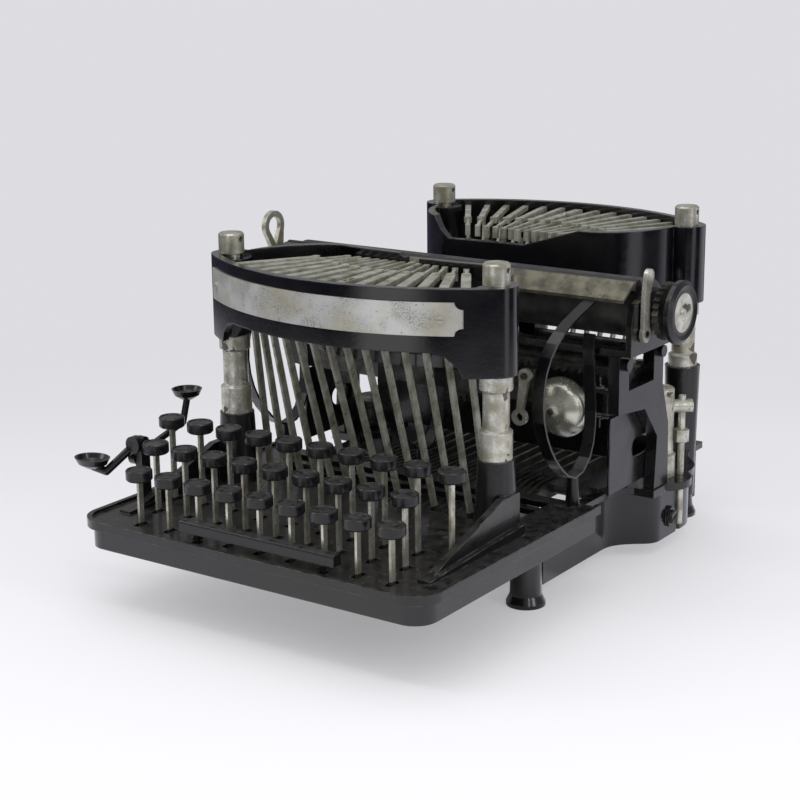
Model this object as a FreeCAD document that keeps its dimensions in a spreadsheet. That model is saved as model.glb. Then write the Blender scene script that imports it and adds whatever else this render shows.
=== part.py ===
import FreeCAD
import Part
import Sketcher
import math
import os

# A keyboard typewriter of about 1895 with two fans of hopping type bars, one in front of the
# platen and one behind it. X is to the right, Y to the back, Z up. The origin is on the table,
# under the middle of the whole machine. All sizes are in millimetres.

os.makedirs("parts", exist_ok=True)
doc = FreeCAD.newDocument("typewriter")

# Driving sizes: name, value and what it is.
SIZES = [
    ("half_width", 124.0, "machine centre to the outer face of the platen knob"),
    ("half_depth", 160.0, "machine centre to the front edge of the apron and the back of the rear tray"),
    ("tray_radius", 131.7, "print point to the outer face of a type tray"),
    ("tray_wall", 4.0, "wall of a type tray"),
    ("tray_top", 160.0, "height of the tray rims"),
    ("tray_foot", 119.3, "height of the tray ends, where they sit on the posts"),
    ("tray_arch", 131.0, "height of the tray's lower edge between the posts"),
    ("throat_reach", 49.0, "print point to the tray's throat wall"),
    ("throat_top", 149.0, "lowest edge of the rear tray's throat wall"),
    ("post_x", 76.5, "middle of the machine to a post"),
    ("post_reach", 94.6, "platen axis to a post"),
    ("post_collar_r", 7.7, "radius of a post's collars"),
    ("post_shaft_r", 6.2, "radius of a post's shaft"),
    ("boss_top", 79.4, "top of the casting's bosses under the front posts"),
    ("back_boss_top", 84.0, "top of the casting's bosses under the back posts"),
    ("gusset_top", 64.0, "top of the gussets in front of the posts"),
    ("nut_r", 6.3, "radius of a post nut"),
    ("nut_h", 10.0, "height of a post nut"),
    ("deck_top", 44.0, "height of the deck under the keys"),
    ("deck_t", 3.0, "thickness of the deck"),
    ("apron_x", 100.0, "middle of the machine to the side of the apron"),
    ("skirt_inset", 3.0, "edge of the apron to its skirt"),
    ("skirt_t", 2.5, "thickness of the skirt"),
    ("skirt_bottom", 31.0, "lower edge of the apron's skirt"),
    ("wall_t", 4.0, "wall of the base"),
    ("wall_x", 80.0, "middle of the machine to the base's side"),
    ("wall_bottom", 7.0, "lower edge of the base walls"),
    ("wall_top", 38.0, "top of the base walls behind the deck"),
    ("foot_r", 7.5, "radius of a foot"),
    ("foot_flare_r", 9.5, "radius of a foot at the table"),
    ("key_pitch", 18.0, "key to key along a row"),
    ("row_pitch", 18.6, "row to row"),
    ("key_front_gap", 12.8, "edge of the apron to the front row of keys"),
    ("key_top_back", 86.0, "height of the back row's caps"),
    ("row_step", 7.6, "height step from row to row"),
    ("cap_r", 6.3, "radius of a key cap"),
    ("cap_t", 5.2, "thickness of a key cap"),
    ("lever_t", 1.6, "thickness of a key lever"),
    ("lever_h", 8.0, "height of a key lever"),
    ("lever_bottom", 31.0, "lower edge of the key levers"),
    ("lever_pitch", 3.8, "lever to lever at the shaft"),
    ("shaft_r", 2.0, "radius of the key lever shaft"),
    ("run_gap", 0.05, "running clearance of a bore over its shaft"),
    ("seat_gap", 0.2, "gap of a seated piece"),
    ("platen_z", 135.0, "height of the platen axis"),
    ("platen_r", 14.5, "radius of the platen"),
    ("platen_half", 104.0, "half the length of the platen"),
    ("axle_r", 3.0, "radius of the platen axle"),
    ("knob_r", 15.4, "radius of the platen knob"),
    ("rail_z", 110.0, "height of the carriage rails"),
    ("rail_r", 3.0, "radius of the carriage rails"),
    ("rail_front", 16.3, "platen axis to the front rail"),
    ("rail_back", 19.7, "platen axis to the back rail"),
    ("tooth_module", 1.35, "module of the feed rack and its pinion"),
    ("rack_line", 101.5, "height of the feed rack's pitch line"),
    ("bell_r", 15.2, "radius of the bell"),
    ("bracket_x", 94.0, "middle of the machine to the rail brackets"),
    ("bracket_t", 6.0, "thickness of the rail brackets"),
    ("bar_z", 154.5, "lower face of the type bars"),
    ("leg_foot_z", 123.0, "height of the type bar legs' fixed pins"),
    ("leg_throw", 24.0, "how far a leg leans from upright"),
    ("leg_reach", 84.0, "print point to the legs' fixed pins"),
]

sheet = doc.addObject("Spreadsheet::Sheet", "Dims")
for row, (name, value, note) in enumerate(SIZES, start=1):
    sheet.set("A%d" % row, name)
    sheet.set("B%d" % row, str(value))
    sheet.set("C%d" % row, note)
    sheet.setAlias("B%d" % row, name)
doc.recompute()


class Size:
    """A driving size or a sum of them: its number and the sheet expression that gives it."""

    def __init__(self, number, text):
        self.number = number
        self.text = text

    def __add__(self, other):
        other = size(other)
        return Size(self.number + other.number, "(%s + %s)" % (self.text, other.text))

    def __sub__(self, other):
        other = size(other)
        return Size(self.number - other.number, "(%s - %s)" % (self.text, other.text))

    def __mul__(self, other):
        other = size(other)
        return Size(self.number * other.number, "(%s * %s)" % (self.text, other.text))

    def __truediv__(self, other):
        other = size(other)
        return Size(self.number / other.number, "(%s / %s)" % (self.text, other.text))

    def __neg__(self):
        return Size(-self.number, "(0 - %s)" % self.text)

    def __radd__(self, other):
        return size(other) + self

    def __rsub__(self, other):
        return size(other) - self

    def __rmul__(self, other):
        return size(other) * self


def size(thing):
    """A number or a size, as a size."""
    if isinstance(thing, Size):
        return thing
    return Size(float(thing), "%.6g" % thing)


D = {name: Size(value, "Dims.%s" % name) for name, value, note in SIZES}
N = {name: value for name, value, note in SIZES}

platen_y = N["half_depth"] - N["tray_radius"]
wall_front = platen_y - 57.3
front_edge = -N["half_depth"]
nodes = []


def vec(x, y, z):
    return FreeCAD.Vector(x, y, z)


def keep(obj, label):
    """Names a finished sub-part and puts it on the list of nodes."""
    obj.Label = label
    nodes.append(obj)
    return obj


def keep_shape(label, shape, place=None):
    """A sub-part whose form comes from Part functions, placed after its shape is set."""
    obj = doc.addObject("Part::Feature", label)
    obj.Shape = shape
    obj.Placement = place or FreeCAD.Placement()
    return keep(obj, label)


def origin_plane(body, role):
    return [f for f in body.Origin.OriginFeatures if f.Role == role][0]


def outline(body, name, role, points, lift=None):
    """A closed sketch through points, each coordinate held by a constraint with its expression."""
    sketch = body.newObject("Sketcher::SketchObject", name)
    sketch.AttachmentSupport = [(origin_plane(body, role), "")]
    sketch.MapMode = "FlatFace"
    points = [(size(a), size(b)) for a, b in points]
    count = len(points)
    for i, (a, b) in enumerate(points):
        c, d = points[(i + 1) % count]
        sketch.addGeometry(
            Part.LineSegment(vec(a.number, b.number, 0), vec(c.number, d.number, 0)), False
        )
    for i in range(count):
        sketch.addConstraint(Sketcher.Constraint("Coincident", i, 2, (i + 1) % count, 1))
    for i, (a, b) in enumerate(points):
        for kind, value, axis in (("DistanceX", a, -2), ("DistanceY", b, -1)):
            if abs(value.number) < 1e-9:
                sketch.addConstraint(Sketcher.Constraint("PointOnObject", i, 1, axis))
                continue
            at = sketch.addConstraint(Sketcher.Constraint(kind, i, 1, value.number))
            sketch.setExpression("Constraints[%d]" % at, value.text)
    if lift is not None:
        sketch.setExpression("AttachmentOffset.Base.z", size(lift).text)
    doc.recompute()
    return sketch


def new_body(name):
    return doc.addObject("PartDesign::Body", name)


def turned(name, points):
    """A turned piece about its own Z axis, from half its outline as (radius, height) pairs."""
    body = new_body(name)
    sketch = outline(body, name + "_profile", "XZ_Plane", points)
    spin = body.newObject("PartDesign::Revolution", name + "_turn")
    spin.Profile = sketch
    spin.ReferenceAxis = (sketch, ["V_Axis"])
    spin.Angle = 360.0
    doc.recompute()
    body.Tip = spin
    return body


def laid_along_x(body, height):
    """Turns a turned piece from Z to X and puts it on an axis over the platen's middle line."""
    body.Placement = FreeCAD.Placement(vec(0, 0, 0), FreeCAD.Rotation(vec(0, 1, 0), 90))
    body.setExpression("Placement.Base.y", (D["half_depth"] - D["tray_radius"]).text)
    body.setExpression("Placement.Base.z", size(height).text)
    doc.recompute()
    return body


def placed(shape, x, y, z, axis=None, angle=0.0):
    """A copy of a shape turned about an axis through its origin and then moved."""
    copy = shape.copy()
    turn = FreeCAD.Rotation(axis, angle) if axis is not None else FreeCAD.Rotation()
    copy.Placement = FreeCAD.Placement(vec(x, y, z), turn).multiply(copy.Placement)
    return copy


def block(x0, x1, y0, y1, z0, z1):
    return Part.makeBox(x1 - x0, y1 - y0, z1 - z0, vec(x0, y0, z0))


def rod(start, end, radius):
    line = end - start
    return Part.makeCylinder(radius, line.Length, start, line)


def flat(points, z0, z1):
    """A plate with a plan outline of straight sides."""
    wire = Part.makePolygon([vec(x, y, z0) for x, y in points] + [vec(*points[0], z0)])
    return Part.Face(wire).extrude(vec(0, 0, z1 - z0))


def side_plate(points, x0, x1):
    """A plate with a side outline given as (y, z) pairs."""
    first = points[0]
    wire = Part.makePolygon([vec(x0, y, z) for y, z in points] + [vec(x0, first[0], first[1])])
    return Part.Face(wire).extrude(vec(x1 - x0, 0, 0))


def fuse(pieces):
    """One solid from pieces that touch."""
    return pieces[0].multiFuse(pieces[1:]).removeSplitter()


def ribbon(points, thickness, z0, z1):
    """A flat bar on edge whose middle line goes through plan points."""
    left = []
    right = []
    count = len(points)
    for i, (x, y) in enumerate(points):
        before = points[max(i - 1, 0)]
        after = points[min(i + 1, count - 1)]
        along = vec(after[0] - before[0], after[1] - before[1], 0).normalize()
        half = thickness / 2.0
        left.append((x - along.y * half, y + along.x * half))
        right.append((x + along.y * half, y - along.x * half))
    return flat(left + right[::-1], z0, z1)


# Key layout: three rows share 28 lanes, one third of a key pitch apart, so each lever has its own lane.
lane_step = N["key_pitch"] / 3.0
key_rows = 3
keys = []
for lane in range(28):
    x = (lane - 13.5) * lane_step
    row = lane % key_rows
    y = front_edge + N["key_front_gap"] + (key_rows - 1 - row) * N["row_pitch"]
    top = N["key_top_back"] - row * N["row_step"]
    keys.append((lane, x, y, top))

lever_top = N["lever_bottom"] + N["lever_h"]
shaft_z = N["lever_bottom"] + N["lever_h"] / 2.0
strip_y_front = platen_y - 78.3
strip_y_back = platen_y + 84.0
lever_bend_y = front_edge + 55.0
strip_top = N["tray_arch"] + 9.0
back_foot_top = 12.0
space_y = front_edge + 100.0
space_z = 35.0
space_arm_x = 86.2
space_stems = (-30.0, 42.0)
space_bar_y = front_edge + 7.2
shift_y = front_edge + 37.0
shift_z = 75.0
basket_xs = (-87.0, 0.0, 87.0)
basket_y = platen_y - 42.0
basket_foot_z = 59.0
drum_y = platen_y + 46.6
hanger_r = 1.8
hanger_x = 98.6
hanger_y = platen_y + 50.2


def lane_at_shaft(lane):
    return (lane - 13.5) * N["lever_pitch"]


# Base casting: apron, deck, skirt, walls, lugs, bosses, gussets and the pins of the shift levers.

def wall_loop(inset, z0, z1):
    """The base's plan as a solid block, drawn in from its outer face by the inset."""
    half = N["wall_x"] - inset
    lug = N["wall_x"] + 18.0 - inset
    front = wall_front + inset
    back = platen_y + N["post_reach"] + 13.0 - inset
    waist = platen_y + 2.0
    lug_front = platen_y + 30.0 + inset * 0.4
    lug_back = platen_y + 55.0 - inset * 0.4
    right = [
        Part.LineSegment(vec(half, front, z0), vec(half, waist, z0)),
        Part.BSplineCurve(),
        Part.LineSegment(vec(lug, lug_front, z0), vec(lug, lug_back, z0)),
        Part.BSplineCurve(),
    ]
    right[1].interpolate(
        Points=[vec(half, waist, z0), vec((half + lug) / 2.0, (waist + lug_front) / 2.0 + 2, z0),
                vec(lug, lug_front, z0)],
        Tangents=[vec(0, 14, 0), vec(14, 12, 0), vec(0, 14, 0)], TangentFlags=[True, True, True],
    )
    right[3].interpolate(
        Points=[vec(lug, lug_back, z0), vec((half + lug) / 2.0, (lug_back + back) / 2.0 - 6, z0),
                vec(half, back, z0)],
        Tangents=[vec(0, 14, 0), vec(-14, 12, 0), vec(0, 14, 0)], TangentFlags=[True, True, True],
    )
    edges = [curve.toShape() for curve in right]
    left = [edge.mirror(vec(0, 0, 0), vec(1, 0, 0)) for edge in edges]
    ends = [
        Part.LineSegment(vec(half, back, z0), vec(-half, back, z0)).toShape(),
        Part.LineSegment(vec(-half, front, z0), vec(half, front, z0)).toShape(),
    ]
    wire = Part.Wire(Part.__sortEdges__(edges + left + ends))
    return Part.Face(wire).extrude(vec(0, 0, z1 - z0))


def apron_block(inset, z0, z1, back, corner):
    """The apron's plan as a block with rounded front corners."""
    half = N["apron_x"] - inset
    shape = block(-half, half, front_edge + inset, back, z0, z1)
    corners = [
        edge for edge in shape.Edges
        if abs(edge.Vertexes[0].Z - edge.Vertexes[-1].Z) > 1 and edge.BoundBox.YMax < front_edge + inset + 1
    ]
    return shape.makeFillet(corner, corners)


def base_casting():
    deck_bottom = N["deck_top"] - N["deck_t"]
    side_back = platen_y - 37.3
    well_front = platen_y - 85.3
    apron = apron_block(0.0, deck_bottom, N["deck_top"], side_back, 14.0)
    lip_outer = apron_block(0.0, deck_bottom, N["deck_top"] + 1.4, side_back, 14.0)
    lip_inner = apron_block(2.4, deck_bottom - 1, N["deck_top"] + 3, side_back + 3, 11.6)
    lip = lip_outer.cut(lip_inner)
    skirt_outer = apron_block(N["skirt_inset"], N["skirt_bottom"], deck_bottom, side_back, 11.0)
    skirt_inner = apron_block(
        N["skirt_inset"] + N["skirt_t"], N["skirt_bottom"] - 1, deck_bottom + 1,
        side_back + 3.0, 11.0 - N["skirt_t"]
    )
    skirt = skirt_outer.cut(skirt_inner)
    walls = wall_loop(0.0, N["wall_bottom"], N["wall_top"])
    walls = walls.cut(wall_loop(N["wall_t"], N["wall_bottom"] - 1, N["wall_top"] + 1))
    rim = wall_loop(-2.5, N["wall_top"] - 3.5, N["wall_top"])
    rim = rim.cut(wall_loop(N["wall_t"], N["wall_top"] - 5, N["wall_top"] + 1))
    riser = wall_loop(0.0, N["wall_top"], N["deck_top"])
    riser = riser.cut(wall_loop(N["wall_t"], N["wall_top"] - 1, N["deck_top"] + 1))
    riser = riser.common(block(-200, 200, front_edge, side_back, 0, 100))
    well_side = N["wall_x"] - N["wall_t"]
    well = block(-well_side, well_side, well_front, side_back + 5,
                 deck_bottom - 1, N["deck_top"] + 3)
    pieces = [apron.cut(well), lip, skirt, walls, rim, riser]
    for side in (-1, 1):
        pieces += lug_and_bosses(side, side_back, deck_bottom)
        pieces.append(gusset(side))
        pieces.append(oval_pad(side))
    web_top = lever_top + 5.5
    pieces.append(block(-90.0, 90.0, basket_y - 4.0, basket_y + 4.0, lever_top + 2.5, web_top))
    for x in basket_xs:
        pieces.append(Part.makeCone(3.6, 2.6, basket_foot_z - 0.6 - web_top, vec(x, basket_y, web_top)))
    pieces += shift_pins()
    pieces.append(Part.makeCylinder(3.0, 22.0, vec(-92.0, drum_y, N["wall_top"] - 1.0)))
    holes = key_slots(deck_bottom)
    holes.append(block(-well_side + 4.0, well_side - 4.0, wall_front - 4.0, wall_front + 6.0,
                       N["lever_bottom"] - 3.0, lever_top + 2.0))
    for side in (-1, 1):
        rear_foot = vec(side * N["post_x"], platen_y + N["post_reach"], 0)
        holes.append(Part.makeCylinder(N["foot_flare_r"] + 0.4, back_foot_top, rear_foot))
    holes.append(rod(vec(hanger_x, hanger_y, 5.0), vec(hanger_x, hanger_y, 60.0), hanger_r + 0.35))
    return fuse(pieces).cut(Part.makeCompound(holes))


def shift_pins():
    """The stand at the left of the keys with one pin for each shift lever."""
    x = -89.0
    stand = block(x - 2.0, x + 2.0, shift_y - 3.0, shift_y + 3.0, N["deck_top"] - 1, shift_z)
    crown = rod(vec(x - 2.0, shift_y, shift_z), vec(x + 2.0, shift_y, shift_z), 3.0)
    side_pin = rod(vec(x - 7.0, shift_y, shift_z - 8.0), vec(x - 1.0, shift_y, shift_z - 8.0), 1.8)
    front_pin = rod(vec(x, shift_y - 7.0, shift_z), vec(x, shift_y - 1.0, shift_z), 1.8)
    return [stand, crown, side_pin, front_pin]


def lug_and_bosses(side, side_back, deck_bottom):
    """The side lug with its boss, the four post bosses' halves and the foot seats of one side."""
    lug_y = platen_y + 43.0
    lug = Part.makeCylinder(15.0, 4.0, vec(side * 92.0, lug_y, N["wall_top"] - 4.0))
    lug = lug.fuse(block(min(side * 78.0, side * 92.0), max(side * 78.0, side * 92.0),
                         lug_y - 15.0, lug_y + 15.0, N["wall_top"] - 4.0, N["wall_top"]))
    pad = block(min(side * 80.0, side * 101.0), max(side * 80.0, side * 101.0),
                lug_y - 27.0, lug_y - 8.0, N["wall_top"] - 4.0, N["wall_top"])
    made = [lug, pad]
    x = side * N["post_x"]
    y = platen_y - N["post_reach"]
    made.append(Part.makeCone(10.6, 8.6, N["boss_top"] - deck_bottom, vec(x, y, deck_bottom)))
    y = platen_y + N["post_reach"]
    made.append(Part.makeCone(8.0, 9.4, N["back_boss_top"] - back_foot_top, vec(x, y, back_foot_top)))
    ear_x = side * (space_arm_x + 4.0)
    made.append(block(ear_x - 1.2, ear_x + 1.2, space_y - 4.0, space_y + 4.0, space_z - 4.0, deck_bottom + 1))
    made.append(rod(vec(ear_x, space_y, space_z), vec(side * (space_arm_x - 2.0), space_y, space_z),
                    N["shaft_r"]))
    return made


def oval_pad(side):
    """The oval pad for the lug's screw, on the outer wall."""
    pad = Part.Face(oval(5.6, 4.2, 0)).extrude(vec(0, 0, 3.2))
    pad = placed(pad, 0, 0, 0, vec(0, 1, 0), 90.0)
    x = N["wall_x"] + 16.4
    pad = placed(pad, x, platen_y + 40.2, 17.5)
    return pad if side > 0 else pad.mirror(vec(0, 0, 0), vec(1, 0, 0))


def gusset(side):
    """The long wedge from the post boss down to the front of the deck."""
    front = front_edge + 24.0
    back = platen_y - N["post_reach"] + 4.0
    top = N["gusset_top"]
    deck = N["deck_top"] - 1.0
    x = side * (N["post_x"] + 8.6)
    profile = [(front, deck), (front, deck + 1.5), (back - 14.0, top), (back, top), (back, deck)]
    web = side_plate(profile, x - 1.8, x + 1.8)
    foot = side_plate(
        [(front - 4.0, deck), (front - 4.0, deck + 2.2), (back, deck + 6.0), (back, deck)],
        min(x - side * 2.2, x + side * 4.5), max(x - side * 2.2, x + side * 4.5),
    )
    return web.fuse(foot)


def key_slots(deck_bottom):
    """One slot for each key stem, long enough for the stem's swing."""
    slots = []
    for lane, x, y, top in keys:
        slots.append(block(x - 1.8, x + 1.8, y - 4.0, y + 4.0, deck_bottom - 2, N["deck_top"] + 2))
    for x in space_stems:
        slots.append(block(x - 2.2, x + 2.2, space_bar_y - 2.4, space_bar_y + 2.6,
                           deck_bottom - 2, N["deck_top"] + 2))
    return slots


def feet():
    """Four feet, each turned with a flare at the table."""
    made = []
    places = (
        ("front_foot", wall_front - 10.0, D["deck_top"] - D["deck_t"]),
        ("back_foot", platen_y + N["post_reach"], size(back_foot_top)),
    )
    for name, y, top in places:
        foot = turned(name, [
            (0, 0), (D["foot_flare_r"], 0), (D["foot_flare_r"], 1.8), (D["foot_r"] + 0.3, 5.5),
            (D["foot_r"] - 0.4, top), (0, top),
        ])
        for side in (-1, 1):
            made.append(placed(foot.Shape, side * N["post_x"], y, 0))
    return Part.makeCompound(made)


# Posts and their nuts.

def post_bodies():
    """A front post and a back post, turned from sketches."""
    stud = 4.0
    made = []
    for name, foot, collar in (("front_post", "boss_top", 13.2), ("back_post", "back_boss_top", 6.0)):
        low = D[foot]
        profile = [
            (0, low), (D["post_collar_r"], low), (D["post_collar_r"], low + collar),
            (D["post_shaft_r"], low + (collar + 1.2)), (D["post_shaft_r"], D["tray_foot"] - 8.2),
            (D["post_collar_r"], D["tray_foot"] - 7.2), (D["post_collar_r"], D["tray_foot"]),
            (stud, D["tray_foot"]), (stud, D["tray_top"] + 4.5), (0, D["tray_top"] + 4.5),
        ]
        made.append(turned(name, profile))
    return made


def nut_body():
    """A capstan nut: a turned drum with a blind bore below and a cross hole for a tommy bar."""
    bore = size(4.0) + D["run_gap"]
    low = D["tray_top"]
    high = D["tray_top"] + D["nut_h"]
    profile = [
        (0, low + 4.8), (bore, low + 4.8), (bore, low), (D["nut_r"], low),
        (D["nut_r"], high - 0.8), (D["nut_r"] - 0.8, high), (0, high),
    ]
    body = turned("post_nut", profile)
    sketch = body.newObject("Sketcher::SketchObject", "nut_cross")
    sketch.AttachmentSupport = [(origin_plane(body, "YZ_Plane"), "")]
    sketch.MapMode = "FlatFace"
    sketch.addGeometry(Part.Circle(vec(0, (high - 3.0).number, 0), vec(0, 0, 1), 1.4), False)
    sketch.addConstraint(Sketcher.Constraint("PointOnObject", 0, 3, -2))
    at = sketch.addConstraint(Sketcher.Constraint("DistanceY", 0, 3, (high - 3.0).number))
    sketch.setExpression("Constraints[%d]" % at, (high - 3.0).text)
    sketch.addConstraint(Sketcher.Constraint("Radius", 0, 1.4))
    doc.recompute()
    hole = body.newObject("PartDesign::Pocket", "nut_hole")
    hole.Profile = sketch
    hole.Type = 1
    hole.Midplane = True
    doc.recompute()
    body.Tip = hole
    return body


def at_posts(front, back):
    """Copies of a front piece and a back piece at the four posts."""
    made = []
    for side in (-1, 1):
        made.append(placed(front, side * N["post_x"], platen_y - N["post_reach"], 0))
        made.append(placed(back, side * N["post_x"], platen_y + N["post_reach"], 0))
    return Part.makeCompound(made)


# Type trays. A tray is drawn in its own frame: x across, w outwards from the print point, which is
# on the platen's axis. The front tray has w towards -Y, and the back tray is the same turned round.

bar_count = 14
bar_angles = [math.radians(5.0 * (i - (bar_count - 1) / 2.0)) for i in range(bar_count)]


def tray_outline(z0, z1, inset=0.0):
    """The tray's plan as a block: an outer arc, round ends about the posts and the bowed inner side."""
    radius = N["tray_radius"] - inset
    end_r = radius - math.hypot(N["post_x"], N["post_reach"])
    post_angle = math.atan2(N["post_reach"], N["post_x"])
    throat = N["throat_reach"] + inset

    def on_end(angle, side):
        return vec(side * (N["post_x"] + end_r * math.cos(angle)),
                   -N["post_reach"] - end_r * math.sin(angle), z0)

    inner_angle = math.radians(-105.0)
    lean = 0.5 * inset
    half_side = [(67.0 - lean, throat + 15.0), (57.0 - lean, throat + 4.0), (45.0, throat - 2.0),
                 (30.0, throat - 1.5), (14.0, throat - 0.5), (0.0, throat)]
    points = [on_end(inner_angle, 1)]
    points += [vec(x, -w, z0) for x, w in half_side]
    points += [vec(-x, -w, z0) for x, w in half_side[-2::-1]]
    points.append(on_end(inner_angle, -1))
    curve = Part.BSplineCurve()
    curve.interpolate(Points=points)
    corners = [on_end(post_angle, side) for side in (-1, 1)]
    edges = [Part.Arc(corners[0], vec(0, -radius, z0), corners[1]).toShape(), curve.toShape()]
    for side, corner in zip((-1, 1), corners):
        mid = on_end(math.radians(-25.0), side)
        edges.append(Part.Arc(corner, mid, on_end(inner_angle, side)).toShape())
    wire = Part.Wire(Part.__sortEdges__(edges))
    return Part.Face(wire).extrude(vec(0, 0, z1 - z0))


def tray_shape(rim_cut, notch):
    """A tray: a wall round its plan, solid ends with stud bores, a shelf and the leg rib.

    The rim cut is the part of the throat wall's top edge that is lower than the rim, as (x, z)
    pairs, and the notch says whether the striking bar has a gap of its own in that wall.
    """
    low = N["tray_foot"]
    high = N["tray_top"]
    body = tray_outline(low, high)
    hollow = tray_outline(low - 1, high + 1, N["tray_wall"])
    bosses = []
    bores = []
    for side in (-1, 1):
        at = vec(side * N["post_x"], -N["post_reach"], low)
        bosses.append(Part.makeCylinder(9.9, high - low - 2.0, at))
        bores.append(Part.makeCylinder(4.0 + N["run_gap"], high - low + 2, at - vec(0, 0, 1)))
    arch = N["tray_arch"]
    cuts = [
        xz_plate([(-70, low - 1), (-67.5, low + 5), (-63, arch - 2), (-57, arch), (57, arch),
                  (63, arch - 2), (67.5, low + 5), (70, low - 1)], -140, -70),
        xz_plate([(-64, low - 1), (-34, 139), (34, 139), (64, low - 1)], -70, 0),
        xz_plate(rim_cut, -66, 0),
    ]
    if notch:
        cuts.append(along_ray(block(-4.0, 4.0, -60.0, -40.0, N["throat_top"], high + 3), STRIKER_ANGLE))
    body = body.cut(hollow).fuse(bosses).cut(Part.makeCompound(cuts + bores))
    inside = tray_outline(low - 12, high, 1.0)
    reach = N["leg_reach"]
    rib = ring(reach - 3.0, reach + 3.0, low - 6.0, low).common(inside)
    rib_ends = ring(reach - 3.0, reach + 3.0, low - 6.0, low + 6.0).common(inside)
    rib_ends = rib_ends.cut(block(-57, 57, -140, 0, low - 7, low + 7))
    shelf = ring(40.0, 58.0, 139.0, 142.0).common(inside).common(block(-44, 44, -90, 0, 100, 200))
    return fuse([body, rib, rib_ends, shelf] + clevis())


def ring(inner, outer, z0, z1):
    """A flat ring about the print point."""
    whole = Part.makeCylinder(outer, z1 - z0, vec(0, 0, z0))
    return whole.cut(Part.makeCylinder(inner, z1 - z0 + 2, vec(0, 0, z0 - 1)))


def xz_plate(points, y0, y1):
    """A plate with a front outline given as (x, z) pairs."""
    first = points[0]
    wire = Part.makePolygon([vec(x, y0, z) for x, z in points] + [vec(first[0], y0, first[1])])
    return Part.Face(wire).extrude(vec(0, y1 - y0, 0))


# Type bars. Each lies along a ray through the print point and stands on a leg, and hops forward
# on that leg to strike. The two that strike in this model are cut out of their fans.

STRIKER = 7
STRIKER_ANGLE = bar_angles[STRIKER]
leg_z = N["leg_foot_z"]
leg_top_z = N["bar_z"] + 1.5
leg_top_r = N["leg_reach"] + N["leg_throw"]
STRIKER_RAY = FreeCAD.Placement(vec(0, 0, 0), FreeCAD.Rotation(vec(0, 0, 1), math.degrees(STRIKER_ANGLE)))


def along_ray(shape, angle):
    """Turns a piece drawn on the -Y axis onto its own ray."""
    return placed(shape, 0, 0, 0, vec(0, 0, 1), math.degrees(angle))


def clevis():
    """Two ears and the fixed pin that the striking bar's leg swings on, at its place on the rib."""
    reach = N["leg_reach"]
    ears = [
        block(x, x + 1.4, -reach - 2.6, -reach + 2.6, N["tray_foot"] - 1, leg_z + 2.6)
        for x in (-3.0, 1.6)
    ]
    pin = rod(vec(-2.5, -reach, leg_z), vec(2.5, -reach, leg_z), 1.2)
    return [along_ray(piece, STRIKER_ANGLE) for piece in ears + [pin]]


def leg_shape(foot_z):
    """A leg from its foot on the rib to the bar, without its eyes."""
    rise = leg_top_z - leg_z
    lean = N["leg_throw"] / rise
    foot_r = N["leg_reach"] + (foot_z - leg_z) * lean
    profile = [
        (-foot_r + 1.3, foot_z), (-leg_top_r + 1.3, leg_top_z), (-leg_top_r - 1.3, leg_top_z),
        (-foot_r - 1.3, foot_z),
    ]
    return side_plate(profile, -0.8, 0.8)


def bar_shape(width, tip, back_gap=0.5):
    """A type bar on the -Y ray: broad arm, knee, thin arm and the type block at its tip."""
    z = N["bar_z"]
    outer = N["tray_radius"] - N["tray_wall"] - back_gap
    arm = block(-width / 2.0, width / 2.0, -outer, -82.0, z, z + 2.6)
    knee = Part.makeCylinder(2.1, 3.2, vec(0, -82.0, z - 0.3))
    thin = block(-0.8, 0.8, -82.0, -tip - 2.6, z, z + 1.7)
    head = block(-1.4, 1.4, -tip - 3.2, -tip, N["throat_top"] + 1.2, z + 1.7)
    return arm.fuse([knee, thin, head])


def bar_fan(width):
    """The fan of bars that stand at rest, each fused to its leg."""
    made = []
    for i, angle in enumerate(bar_angles):
        if i == STRIKER:
            continue
        tip = (N["throat_reach"] + N["tray_wall"] + 0.8) / math.cos(angle)
        bar = fuse([bar_shape(width, tip), leg_shape(N["tray_foot"] + N["seat_gap"])])
        made.append(along_ray(bar, angle))
    return Part.makeCompound(made)


def eye(y, z, radius, hole, half):
    """A round eye across the ray with its bore."""
    outer = rod(vec(-half, y, z), vec(half, y, z), radius)
    return outer, rod(vec(-half - 1, y, z), vec(half + 1, y, z), hole)


def hop_leg():
    """The striking bar's leg, with an eye on the fixed pin and a pin for the bar."""
    eye_low, hole_low = eye(-N["leg_reach"], leg_z, 2.4, 1.2 + N["run_gap"], 0.8)
    top_pin = rod(vec(-2.4, -leg_top_r, leg_top_z), vec(2.4, -leg_top_r, leg_top_z), 0.9)
    top_eye = rod(vec(-0.8, -leg_top_r, leg_top_z), vec(0.8, -leg_top_r, leg_top_z), 1.6)
    return fuse([leg_shape(leg_z), eye_low, top_eye, top_pin]).cut(hole_low)


def hop_bar(width):
    """The striking bar: its broad arm is forked over the leg's top pin."""
    bar = bar_shape(width, N["throat_reach"] + 2.4, 2.2)
    cheeks = [
        block(x, x + 0.7, -leg_top_r - 2.2, -leg_top_r + 2.2, leg_top_z - 1.9, N["bar_z"] + 2.6)
        for x in (-width / 2.0, width / 2.0 - 0.7)
    ]
    slot = block(-1.1, 1.1, -leg_top_r - 4.0, -leg_top_r + 4.0, N["bar_z"] - 5, N["bar_z"] + 3.0)
    hole = rod(vec(-4, -leg_top_r, leg_top_z), vec(4, -leg_top_r, leg_top_z), 0.9 + N["run_gap"])
    return fuse([bar] + cheeks).cut(slot).cut(hole)


IN_FRONT = FreeCAD.Placement(vec(0, platen_y, 0), FreeCAD.Rotation())
BEHIND = FreeCAD.Placement(vec(0, platen_y, 0), FreeCAD.Rotation(vec(0, 0, 1), 180.0))


# The bare metal band on the front tray.

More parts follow.
